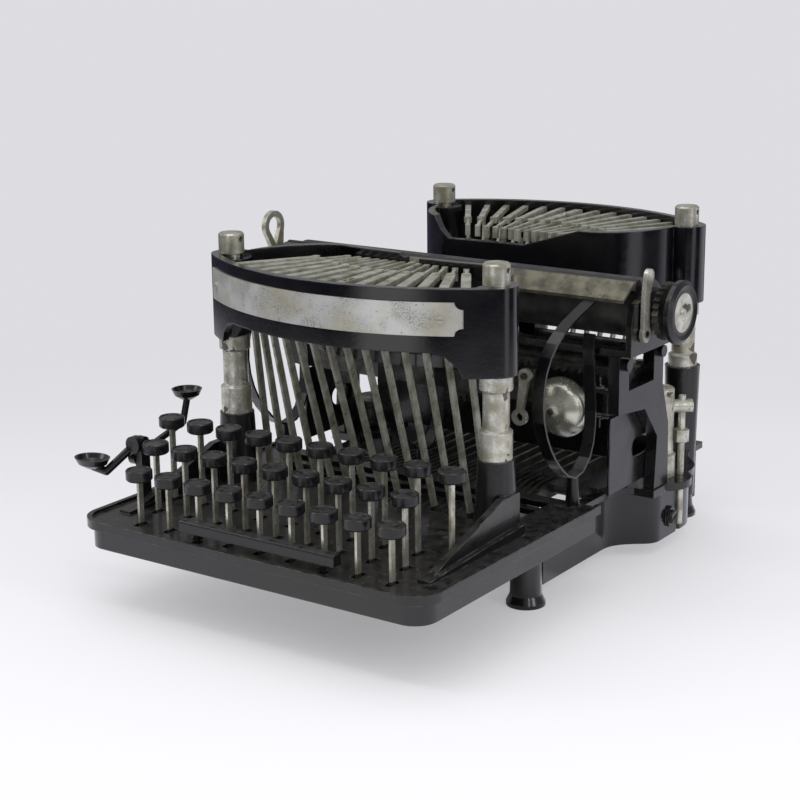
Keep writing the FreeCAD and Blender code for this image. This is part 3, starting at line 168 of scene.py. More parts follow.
def worn_edges(tree: Tree, radius_mm: float, start: float = 0.985, full: float = 0.86) -> Socket:
    """Finds the rubbed edges of a solid, where the rounded normal leaves the true one.

    Args:
        tree: The node tree.
        radius_mm: How wide the rubbed line is.
        start: The cosine between the normals at which the wear begins.
        full: The cosine at which it is whole.

    Returns:
        A socket from 0 to 1.
    """
    soft = add_node(tree, "ShaderNodeBevel", {"Radius": radius_mm * MM}, samples=4).outputs["Normal"]
    sharp = add_node(tree, "ShaderNodeNewGeometry").outputs["Normal"]
    same = add_node(tree, "ShaderNodeVectorMath", {0: soft, 1: sharp}, operation="DOT_PRODUCT")
    return add_node(tree, "ShaderNodeMapRange", {"Value": same.outputs["Value"], "From Min": start,
                                                 "From Max": full}).outputs["Result"]


def past(tree: Tree, axis: str, edge: float, soft_mm: float = 0.05) -> Socket:
    """Is 1 where a coordinate at rest is past an edge.

    Args:
        tree: The node tree.
        axis: "X", "Y" or "Z".
        edge: The edge's coordinate in metres.
        soft_mm: Half the width of the change; below 0, the field is 1 before the edge instead.

    Returns:
        A socket from 0 to 1.
    """
    rest = add_node(tree, "ShaderNodeTexCoord").outputs["Object"]
    value = add_node(tree, "ShaderNodeSeparateXYZ", {"Vector": rest}).outputs[axis]
    return add_node(tree, "ShaderNodeMapRange", {"Value": value, "From Min": edge - soft_mm * MM,
                                                 "From Max": edge + soft_mm * MM}).outputs["Result"]


@dataclass(frozen=True)
class Layer:
    """What one finish gives the shader: colour, roughness, metal share and relief."""

    colour: Any
    roughness: Any
    metallic: Any
    height: Any


def laid_over(tree: Tree, share: Socket, under: Layer, over: Layer) -> Layer:
    """Lays one finish over another; what the two have in common stays as it is.

    Args:
        tree: The node tree.
        share: The field that says where the upper finish shows.
        under: The finish below.
        over: The finish above.

    Returns:
        The joined layer.
    """
    joined = {}
    for part in fields(Layer):
        low, high = getattr(under, part.name), getattr(over, part.name)
        if low == high:
            joined[part.name] = low
            continue
        kind, first, second, out = ("RGBA", 6, 7, 2) if part.name == "colour" else ("FLOAT", 2, 3, 0)
        mix = add_node(tree, "ShaderNodeMix", {0: share, first: low, second: high}, data_type=kind)
        joined[part.name] = mix.outputs[out]
    return Layer(**joined)


# Finishes.


class Finish:
    """A finish of the machine; each kind gives its own layer."""

    def layer(self, tree: Tree) -> Layer:
        """Gives the finish's layer in a node tree."""
        raise NotImplementedError


@dataclass(frozen=True)
class JapanVarnish(Finish):
    """Black japan, brushed on cast iron and stoved.

    It is glassy and slightly uneven, so pale things show in it as soft streaks; dust lies on its
    flat tops, and its rubbed edges show grey iron.
    """

    black: str = "#060709"
    dust: str = "#3B3A38"
    iron: str = "#77736A"
    dusty: float = 0.35
    rubbed: float = 0.5
    gloss: float = 0.13
    uneven: float = 0.13
    dust_rough: float = 0.7
    iron_rough: float = 0.45
    rub_mm: float = 0.5
    brushing: Clouds = Clouds(16.0, 5.0)
    drift: Clouds = Clouds(5.0, 8.0, 0.3, 0.75)
    rubbing: Clouds = Clouds(6.0, 6.0, 0.45, 0.62)
    peel: Clouds = Clouds(2.2, 3.0, 0.2, 0.8)

    def layer(self, tree: Tree) -> Layer:
        """Gives the varnish with its dust and rubbed edges."""
        relief = self.peel.share(tree)
        glassy = Layer(linear(self.black), self.gloss, 0.0, relief)
        varnish = laid_over(tree, self.brushing.share(tree), glassy,
                            replace(glassy, roughness=self.gloss + self.uneven))
        dust = combined(tree, "MULTIPLY", facing_up(tree), self.drift.share(tree), self.dusty)
        varnish = laid_over(tree, dust, varnish, Layer(linear(self.dust), self.dust_rough, 0.0, relief))
        bare = combined(tree, "MULTIPLY", worn_edges(tree, self.rub_mm), self.rubbing.share(tree), self.rubbed)
        return laid_over(tree, bare, varnish, Layer(linear(self.iron), self.iron_rough, 0.0, relief))


@dataclass(frozen=True)
class WornJapan(Finish):
    """The japan on the deck, where hands and dust have dulled it and brass-brown scratches show.

    The scratches cross each other in three ways; each is drawn 1.6 mm wide, coarser than a real
    one, so that it shows.
    """

    varnish: JapanVarnish = JapanVarnish(dusty=0.75, rubbed=0.9, gloss=0.24)
    bottom: Layer = Layer(linear("#8A7650"), 0.42, 0.6, 0.2)
    strands: tuple[Streaks, ...] = tuple(Streaks((60.0, 1.6, 0.0), 2.0, turn) for turn in (0.5, 1.6, 2.7))
    strand_low: float = 0.70
    strand_high: float = 0.74
    handled: Clouds = Clouds(25.0, 4.0, 0.42, 0.6)
    chips: Clouds = Clouds(3.0, 6.0, 0.66, 0.70)
    depth: float = 0.75

    def layer(self, tree: Tree) -> Layer:
        """Gives the dulled varnish with fine crossing scratches and small chips."""
        lines = [add_node(tree, "ShaderNodeMapRange", {"Value": strand.value(tree), "From Min": self.strand_low,
                                                       "From Max": self.strand_high}).outputs["Result"]
                 for strand in self.strands]
        scratches = combined(tree, "MULTIPLY", combined(tree, "MAXIMUM", *lines), self.handled.share(tree))
        marks = combined(tree, "MAXIMUM", scratches, self.chips.share(tree))
        shown = combined(tree, "MULTIPLY", marks, facing_up(tree, 0.3), self.depth)
        return laid_over(tree, shown, self.varnish.layer(tree), self.bottom)


@dataclass(frozen=True)
class AgedNickel(Finish):
    """Nickel plate on steel, polished once and now dulled to a warm grey.

    The dulled plate takes a yellow-green cast in patches, black pits and rust come through, and
    where it has flaked the dark steel shows in patches of some millimetres.
    """

    bright: str = "#CBCAC0"
    dulled: str = "#96937F"
    rust: str = "#2B211A"
    pits: float = 0.6
    rough: float = 0.3
    mottle: float = 0.16
    metallic: float = 0.72
    flaked: float = 0.0
    rust_rough: float = 0.8
    rust_metallic: float = 0.1
    pit_mm: float = 1.7
    pit_edge: Flat = (0.26, 0.13)
    stain_low: float = 0.66
    stain_high: float = 0.73
    stain_gain: float = 0.09
    patches: Clouds = Clouds(7.0, 7.0, 0.36, 0.66)
    pitted: Clouds = Clouds(5.0, 5.0, 0.46, 0.6)
    flakes: Clouds = Clouds(9.0, 3.0, 0.63, 0.645)
    grain: Clouds = Clouds(1.2, 2.0)

    def layer(self, tree: Tree) -> Layer:
        """Gives the plate with its patches, pits, stains and flakes."""
        rest = add_node(tree, "ShaderNodeTexCoord").outputs["Object"]
        cells = add_node(tree, "ShaderNodeTexVoronoi", {"Vector": rest, "Scale": 1.0 / (self.pit_mm * MM),
                                                        "Randomness": 1.0})
        dots = add_node(tree, "ShaderNodeMapRange", {"Value": cells.outputs["Distance"],
                                                     "From Min": self.pit_edge[0], "From Max": self.pit_edge[1]})
        dots = combined(tree, "MULTIPLY", dots.outputs["Result"], self.pitted.share(tree))
        gain = self.stain_gain * self.pits
        stains = Clouds(4.0, 8.0, self.stain_low - gain, self.stain_high - gain).share(tree)
        marks = combined(tree, "MULTIPLY", combined(tree, "MAXIMUM", dots, stains),
                         min(1.0, 0.4 + 0.6 * self.pits))
        bare = combined(tree, "MULTIPLY", self.flakes.share(tree), self.flaked)
        spoiled = combined(tree, "MAXIMUM", marks, bare)
        clean = Layer(linear(self.bright), self.rough, self.metallic, self.grain.share(tree))
        plate = laid_over(tree, self.patches.share(tree), clean,
                          replace(clean, colour=linear(self.dulled), roughness=self.rough + self.mottle))
        return laid_over(tree, spoiled, plate, Layer(linear(self.rust), self.rust_rough, self.rust_metallic, 0.0))


@dataclass(frozen=True)
class Vulcanite(Finish):
    """Hard black rubber, turned and polished; fingers have greyed its rims and left dust in the dish."""

    black: str = "#141416"
    grey: str = "#5A5958"
    rubbed: float = 0.6
    dusty: float = 0.5
    gloss: float = 0.26
    grey_rough: float = 0.6
    rim_mm: float = 0.35
    rubbing: Clouds = Clouds(3.0, 5.0, 0.3, 0.6)
    drift: Clouds = Clouds(2.4, 8.0, 0.35, 0.7)
    grain: Clouds = Clouds(0.9, 2.0)

    def layer(self, tree: Tree) -> Layer:
        """Gives the rubber with greyed rims and dust."""
        rims = combined(tree, "MULTIPLY", worn_edges(tree, self.rim_mm), self.rubbing.share(tree), self.rubbed)
        dust = combined(tree, "MULTIPLY", facing_up(tree), self.drift.share(tree), self.dusty)
        clean = Layer(linear(self.black), self.gloss, 0.0, self.grain.share(tree))
        return laid_over(tree, combined(tree, "MAXIMUM", rims, dust), clean,
                         replace(clean, colour=linear(self.grey), roughness=self.grey_rough))


@dataclass(frozen=True)
class GroundRubber(Finish):
    """The platen's rubber, ground round: matt black with fine rings and grey paper dust."""

    black: str = "#232324"
    dust: str = "#66655F"
    dusty: float = 0.35
    smooth: float = 0.42
    rough: float = 0.6
    rings: Streaks = Streaks((0.8, 100.0, 100.0))
    drift: Clouds = Clouds(9.0, 6.0)

    def layer(self, tree: Tree) -> Layer:
        """Gives the rubber with its rings and dust."""
        rings = self.rings.value(tree)
        clean = Layer(linear(self.black), self.smooth, 0.0, rings)
        rubber = laid_over(tree, rings, clean, replace(clean, roughness=self.rough))
        dust = combined(tree, "MULTIPLY", self.drift.share(tree), self.dusty)
        return laid_over(tree, dust, rubber, replace(rubber, colour=linear(self.dust)))


@dataclass(frozen=True)
class RubbedPlate(Finish):
    """The bright band: tinned sheet, its tin worn to grey grains and yellowed in broad patches."""

    bright: str = "#BFC0BD"
    dark: str = "#85867F"
    stain: str = "#A09B80"
    freckle: str = "#5E5C54"
    rough: float = 0.42
    rubbed_rough: float = 0.3
    metallic: float = 0.45
    marked: float = 0.6
    rubbing: Streaks = Streaks((30.0, 30.0, 1.1))
    grains: Clouds = Clouds(0.55, 2.0, 0.4, 0.62)
    worn: Clouds = Clouds(12.0, 4.0, 0.38, 0.6)
    yellowed: Clouds = Clouds(22.0, 3.0, 0.42, 0.62)
    freckles: Clouds = Clouds(1.5, 4.0, 0.66, 0.7)

    def layer(self, tree: Tree) -> Layer:
        """Gives the sheet with fine grains, faint rubbed lines, yellowed patches and a few freckles."""
        grains = self.grains.share(tree)
        tin = Layer(linear(self.bright), self.rough, self.metallic, grains)
        sheet = laid_over(tree, self.rubbing.value(tree), tin, replace(tin, roughness=self.rubbed_rough))
        for pattern, strength, colour in ((self.worn, grains, self.dark), (self.yellowed, self.marked, self.stain),
                                          (self.freckles, self.marked, self.freckle)):
            share = combined(tree, "MULTIPLY", pattern.share(tree), strength)
            sheet = laid_over(tree, share, sheet, replace(sheet, colour=linear(colour)))
        return sheet


# The finishes that nodes take, and the surface each one has.


class Dress(Enum):
    """The machine's finishes by a maker's name."""

    CASTING = "japanned_cast_iron"
    DECK = "worn_japanned_deck"
    BLACK_FITTING = "japanned_steel"
    NICKEL = "aged_nickel_plate"
    SPOTTED_NICKEL = "pitted_nickel_plate"
    BELL = "bell_nickel"
    BAR_STEEL = "dull_bar_steel"
    SCALE = "tarnished_scale_brass"
    OILED_STEEL = "oiled_dark_steel"
    CAP = "polished_vulcanite"
    PLATEN = "ground_rubber"
    BAND = "rubbed_tinned_band"


FINISHES: dict[Dress, Finish] = {
    Dress.CASTING: JapanVarnish(),
    Dress.DECK: WornJapan(),
    Dress.BLACK_FITTING: JapanVarnish(dusty=0.2, rubbed=0.35, gloss=0.2),
    Dress.NICKEL: AgedNickel(pits=0.2, rough=0.24),
    Dress.SPOTTED_NICKEL: AgedNickel(bright="#CFCEC6", dulled="#9C9986", pits=0.3, rough=0.2, flaked=0.85,
                                     metallic=0.62),
    Dress.BELL: AgedNickel(bright="#C6C5BA", dulled="#BBB9AB", pits=0.0, rough=0.2, mottle=0.0, metallic=0.85),
    Dress.BAR_STEEL: AgedNickel(bright="#B5B5AA", dulled="#7F7E6A", pits=0.35, rough=0.36, metallic=0.5),
    Dress.SCALE: AgedNickel(bright="#74715F", dulled="#4B483D", pits=0.5, rough=0.34, metallic=0.7),
    Dress.OILED_STEEL: AgedNickel(bright="#5A5A55", dulled="#33322D", pits=0.5, rough=0.36, metallic=0.7),
    Dress.CAP: Vulcanite(),
    Dress.PLATEN: GroundRubber(),
    Dress.BAND: RubbedPlate(),
}


@dataclass(frozen=True)
class Surface:
    """A finish's share of clear gloss, the depth of its relief and the radius edges look rounded to."""

    coat: float = 0.0
    relief_mm: float = 0.05
    edge_mm: float = 0.35


SURFACES: dict[Dress, Surface] = {
    Dress.CASTING: Surface(coat=0.5, edge_mm=0.9),
    Dress.BLACK_FITTING: Surface(coat=0.3),
    Dress.SPOTTED_NICKEL: Surface(edge_mm=0.8),
    # The bell is spun smooth, and the wide radius hides the facets of its mesh.
    Dress.BELL: Surface(relief_mm=0.0, edge_mm=3.0),
    Dress.BAR_STEEL: Surface(relief_mm=0.02),
    Dress.BAND: Surface(relief_mm=0.015),
}
COAT_ROUGHNESS = 0.08
RELIEF_STRENGTH = 0.6
MATERIALS: dict[Dress, bpy.types.Material] = {}


def finished(name: str, layer_of: Callable[[Tree], Layer], surface: Surface) -> bpy.types.Material:
    """Makes a material from a layer.

    Args:
        name: The material's name.
        layer_of: A function that gives the layer for a node tree.
        surface: Its gloss, relief and rounded edges.

    Returns:
        The material.
    """
    material = bpy.data.materials.new(name)
    material.use_nodes = True
    tree = material.node_tree
    tree.nodes.clear()
    layer = layer_of(tree)
    rounded = add_node(tree, "ShaderNodeBevel", {"Radius": surface.edge_mm * MM}, samples=4).outputs["Normal"]
    bump = add_node(tree, "ShaderNodeBump", {"Strength": RELIEF_STRENGTH, "Distance": surface.relief_mm * MM,
                                             "Height": layer.height, "Normal": rounded})
    shader = add_node(tree, "ShaderNodeBsdfPrincipled",
                      {"Base Color": layer.colour, "Roughness": layer.roughness, "Metallic": layer.metallic,
                       "Coat Weight": surface.coat, "Coat Roughness": COAT_ROUGHNESS,
                       "Normal": bump.outputs["Normal"]})
    add_node(tree, "ShaderNodeOutputMaterial", {"Surface": shader.outputs["BSDF"]})
    return material


def material_for(dress: Dress) -> bpy.types.Material:
    """Gives the one material of a finish, made on its first use."""
    if dress not in MATERIALS:
        MATERIALS[dress] = finished(dress.value, FINISHES[dress].layer, SURFACES.get(dress, Surface()))
    return MATERIALS[dress]


def wear(node: str, material: bpy.types.Material) -> None:
    """Gives a node of the frame its material and reports it."""
    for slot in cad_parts[node].material_slots:
        slot.material = material
    LOG.info("%s wears %s", node, material.name)


# Sub-assemblies of the frame.


@dataclass
class Casting:
    """The base casting with its feet: glossy black sides, a dulled deck and worn flat tops."""

    deck_height: float = 41.0 * MM
    deck_edge_mm: float = 0.4
    surface: Surface = Surface(coat=0.3, relief_mm=0.06, edge_mm=0.8)

    def base_layer(self, tree: Tree) -> Layer:
        """Joins the gloss of the sides and, above the deck's lower face, the dulled deck."""
        return laid_over(tree, past(tree, "Z", self.deck_height, self.deck_edge_mm),
                         FINISHES[Dress.CASTING].layer(tree), FINISHES[Dress.DECK].layer(tree))

    def dress(self) -> None:
        """Japans the base and its feet."""
        wear("base_casting", finished("japanned_base", self.base_layer, self.surface))
        wear("feet", material_for(Dress.CASTING))


@dataclass
class Posts:
    """The four posts and their capstan nuts, and the nickel post on the right lug."""

    plated: tuple[str, ...] = ("posts", "side_post")

    def dress(self) -> None:
        """Plates the posts; their pits are heavier than those of the nuts."""
        for node in self.plated:
            wear(node, material_for(Dress.SPOTTED_NICKEL))
        wear("post_nuts", material_for(Dress.NICKEL))


@dataclass
class TypeTrays:
    """The two bow-shaped trays, the bright band and the bars that lie in the trays."""

    trays: tuple[str, ...] = ("front_tray", "rear_tray")
    bars: tuple[str, ...] = ("front_type_bars", "rear_type_bars", "front_hop_leg", "front_hop_bar",
                             "rear_hop_leg", "rear_hop_bar")

    def dress(self) -> None:
        """Japans the trays, tins the band and dulls the bars."""
        for node in self.trays:
            wear(node, material_for(Dress.CASTING))
        wear("front_band", material_for(Dress.BAND))
        for node in self.bars:
            wear(node, material_for(Dress.BAR_STEEL))


@dataclass
class Keyboard:
    """The keys, the space bar and the shaft they turn near."""

    count: int = 28
    cap_height: float = 5.2 * MM
    cap_margin: float = 0.1 * MM
    lever_top: float = 45.0 * MM
    strips_from: float = -100.0 * MM
    surface: Surface = Surface(relief_mm=0.04, edge_mm=0.25)
    rows: dict[int, bpy.types.Material] = field(default_factory=dict)

    def row_material(self, cap_bottom: float) -> bpy.types.Material:
        """Makes a row's material: black caps over nickel stems, dull strips and oiled levers.

        Args:
            cap_bottom: Height of the caps' lower faces.

        Returns:
            The material shared by the row's keys.
        """
        def layer(tree: Tree) -> Layer:
            """Joins cap, stem, strip and lever by place."""
            stem = laid_over(tree, past(tree, "Y", self.strips_from), FINISHES[Dress.NICKEL].layer(tree),
                             FINISHES[Dress.BAR_STEEL].layer(tree))
            metal = laid_over(tree, past(tree, "Z", self.lever_top), FINISHES[Dress.OILED_STEEL].layer(tree), stem)
            cap = combined(tree, "MULTIPLY", past(tree, "Z", cap_bottom), past(tree, "Y", self.strips_from, -0.05))
            return laid_over(tree, cap, metal, FINISHES[Dress.CAP].layer(tree))

        key = round(cap_bottom / MM)
        if key not in self.rows:
            self.rows[key] = finished("key_row_%d" % key, layer, self.surface)
        return self.rows[key]

    def dress(self) -> None:
        """Dresses every key by the height of its cap, then the space bar and the shaft."""
        for number in range(1, self.count + 1):
            node = "key_%02d" % number
            front = [v.co.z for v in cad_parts[node].data.vertices if v.co.y < self.strips_from]
            wear(node, self.row_material(max(front) - self.cap_height - self.cap_margin))
        wear("space_bar", material_for(Dress.CAP))
        wear("lever_shaft", material_for(Dress.OILED_STEEL))


@dataclass
class Carriage:
    """The carriage, the platen and its knob, the levers, the rails, the feed and the bell."""

    knob_node: str = "platen_knob"
    knob_face_r: float = 9.4 * MM
    rim_edge: float = 0.1 * MM
    scale_front: float = 12.0 * MM
    scale_low: float = 141.5 * MM
    bright_half: float = 80.0 * MM
    plated: tuple[str, ...] = ("line_space_lever", "paper_release_lever", "bell_trip_lever")
    oiled: tuple[str, ...] = ("ratchet_wheel", "feed_rack", "escape_wheel", "spring_drum")
    knob_surface: Surface = Surface(edge_mm=0.3)
    frame_surface: Surface = Surface(coat=0.2, edge_mm=0.3)
    rails_surface: Surface = Surface(coat=0.2, relief_mm=0.04)

    def knob_layer(self, tree: Tree) -> Layer:
        """Gives the knob: a nickel face inside a black rim, parted by the distance from its axis."""
        low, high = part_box(self.knob_node)
        rest = add_node(tree, "ShaderNodeTexCoord").outputs["Object"]
        away = add_node(tree, "ShaderNodeVectorMath", {0: rest, 1: tuple((low + high) / 2.0)},
                        operation="SUBTRACT").outputs[0]
        across = add_node(tree, "ShaderNodeVectorMath", {0: away, 1: (0.0, 1.0, 1.0)},
                          operation="MULTIPLY").outputs[0]
        radius = add_node(tree, "ShaderNodeVectorMath", {0: across}, operation="LENGTH").outputs["Value"]
        rim = add_node(tree, "ShaderNodeMapRange", {"Value": radius, "From Min": self.knob_face_r,
                                                    "From Max": self.knob_face_r + self.rim_edge})
        return laid_over(tree, rim.outputs["Result"], FINISHES[Dress.SPOTTED_NICKEL].layer(tree),
                         FINISHES[Dress.CAP].layer(tree))

    def frame_layer(self, tree: Tree) -> Layer:
        """Gives the carriage: black castings, with the tarnished scale plate above their front."""
        plate = combined(tree, "MULTIPLY", past(tree, "Y", self.scale_front, -0.05), past(tree, "Z", self.scale_low))
        return laid_over(tree, plate, FINISHES[Dress.BLACK_FITTING].layer(tree), FINISHES[Dress.SCALE].layer(tree))

    def rails_layer(self, tree: Tree) -> Layer:
        """Gives the rails' brackets their japan outside the bright length that the carriage rolls on."""
        rest = add_node(tree, "ShaderNodeTexCoord").outputs["Object"]
        across = add_node(tree, "ShaderNodeSeparateXYZ", {"Vector": rest}).outputs["X"]
        away = add_node(tree, "ShaderNodeMath", {0: across}, operation="ABSOLUTE").outputs["Value"]
        rolled = add_node(tree, "ShaderNodeMath", {0: away, 1: self.bright_half}, operation="LESS_THAN")
        return laid_over(tree, rolled.outputs["Value"], FINISHES[Dress.BLACK_FITTING].layer(tree),
                         FINISHES[Dress.OILED_STEEL].layer(tree))

    def dress(self) -> None:
        """Dresses the carriage and everything that works with it."""
        wear(self.knob_node, finished("nickel_faced_knob", self.knob_layer, self.knob_surface))
        wear("carriage_frame", finished("japanned_carriage", self.frame_layer, self.frame_surface))
        wear("platen", material_for(Dress.PLATEN))
        for node in self.plated:
            wear(node, material_for(Dress.NICKEL))
        wear("carriage_rails", finished("japanned_rail_brackets", self.rails_layer, self.rails_surface))
        for node in self.oiled:
            wear(node, material_for(Dress.OILED_STEEL))
        wear("bell", material_for(Dress.BELL))


# Meshes of the small pieces; their sizes are in millimetres.


@dataclass(frozen=True)
class Place:
    """Where a small piece sits, in millimetres: its middle, the way its face looks and its own turn."""

    at: Spot
    facing: Spot = (0.0, 0.0, 1.0)
    turn_deg: float = 0.0

    def matrix(self) -> Matrix:
        """Gives the place as a matrix; on an upright face the piece's second axis points up."""
        flat = self.facing == (0.0, 0.0, 1.0)
        look = Matrix() if flat else Vector(self.facing).to_track_quat("Z", "Y").to_matrix().to_4x4()
        return (Matrix.Translation(Vector(self.at) * MM) @ look
                @ Matrix.Rotation(math.radians(self.turn_deg), 4, "Z"))


def put(name: str, mesh: bpy.types.Mesh, place: Place, dress: Dress) -> None:
    """Stands a small piece in the scene, gives it its finish and lets it ride on the machine.

    Args:
        name: The piece's name.
        mesh: Its mesh, about its own origin.
        place: Where it sits.
        dress: Its finish.
    """
    thing = bpy.data.objects.new(name, mesh)
    thing.matrix_world = place.matrix()
    mesh.materials.clear()
    mesh.materials.append(material_for(dress))
    bpy.context.collection.objects.link(thing)
    bpy.context.view_layer.update()
    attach(thing, MACHINE)
    LOG.info("%s fitted", name)


def meshed(curve: bpy.types.Curve) -> bpy.types.Mesh:
    """Turns a curve into a mesh and drops the curve's holder."""
    holder = bpy.data.objects.new(curve.name, curve)
    mesh = bpy.data.meshes.new_from_object(holder)
    bpy.data.objects.remove(holder)
    return mesh


def plate(name: str, outlines: list[list[Flat]], thick: float, edge: float) -> bpy.types.Mesh:
    """Cuts a flat piece with eased edges.

    Args:
        name: The mesh's name.
        outlines: The outer line, then the holes.
        thick: The plate's thickness.
        edge: The radius of its edges.

    Returns:
        The mesh, its middle plane at height 0.
    """
    curve = bpy.data.curves.new(name, "CURVE")
    curve.dimensions = "2D"
    curve.fill_mode = "BOTH"
    curve.extrude = (thick / 2.0 - edge) * MM
    curve.bevel_depth = edge * MM
    curve.bevel_resolution = 1
    curve.offset = -edge * MM
    for outline in outlines:
        line = curve.splines.new("POLY")
        line.points.add(len(outline) - 1)
        line.use_cyclic_u = True
        for point, (across, up) in zip(line.points, outline):
            point.co = (across * MM, up * MM, 0.0, 1.0)
    return meshed(curve)


def wire(name: str, points: list[Spot], radius: float) -> bpy.types.Mesh:
    """Bends a round wire along points."""
    curve = bpy.data.curves.new(name, "CURVE")
    curve.dimensions = "3D"
    curve.bevel_depth = radius * MM
    curve.bevel_resolution = 2
    curve.use_fill_caps = True
    line = curve.splines.new("POLY")
    line.points.add(len(points) - 1)
    for point, place in zip(line.points, points):
        point.co = (*(value * MM for value in place), 1.0)
    return meshed(curve)


def arc(centre: Flat, radius: float, start_deg: float, end_deg: float, steps: int = 12) -> list[Flat]:
    """Gives points along an arc."""
    turns = [math.radians(start_deg + (end_deg - start_deg) * i / steps) for i in range(steps + 1)]
    return [(centre[0] + radius * math.cos(t), centre[1] + radius * math.sin(t)) for t in turns]


def turned(name: str, profile: list[Flat], sides: int = 40, smooth_deg: float = 35.0) -> bpy.types.Mesh:
    """Turns a profile about its own axis.

    Args:
        name: The mesh's name.
        profile: Points of radius and height.
        sides: How many steps go round.
        smooth_deg: The angle up to which an edge looks smooth.

    Returns:
        The mesh.
    """
    work = bmesh.new()
    ring = [work.verts.new((r * MM, 0.0, h * MM)) for r, h in profile]
    edges = [work.edges.new(pair) for pair in zip(ring, ring[1:])]
    bmesh.ops.spin(work, geom=ring + edges, cent=(0, 0, 0), axis=(0, 0, 1), angle=math.tau, steps=sides)
    bmesh.ops.remove_doubles(work, verts=work.verts, dist=1e-7)
    bmesh.ops.recalc_face_normals(work, faces=work.faces)
    mesh = bpy.data.meshes.new(name)
    work.to_mesh(mesh)
    work.free()
    mesh.shade_smooth()
    mesh.set_sharp_from_angle(angle=math.radians(smooth_deg))
    return mesh


@dataclass(frozen=True)
class SlottedScrew:
    """A round screw head: a turned foot under two lips that leave the driver's slot between them."""

    name: str
    place: Place
    radius: float
    height: float
    dress: Dress = Dress.OILED_STEEL
    slot_share: float = 0.16

    def build(self) -> None:
        """Builds the foot and the two lips."""
        r, h = self.radius, self.height
        foot = turned(self.name, [(0.0, 0.0), (r, 0.0), (r, 0.45 * h), (0.92 * r, 0.5 * h), (0.0, 0.5 * h)])
        put(self.name, foot, self.place, self.dress)
        half = math.degrees(math.asin(self.slot_share))
        lips = [arc((0.0, 0.0), 0.97 * r, start + half, start + 180.0 - half) for start in (0.0, 180.0)]
        top = plate(self.name + "_lips", lips, 0.5 * h, 0.18 * h)
        raised = tuple(a + 0.75 * h * f for a, f in zip(self.place.at, self.place.facing))
        put(self.name + "_lips", top, replace(self.place, at=raised), self.dress)


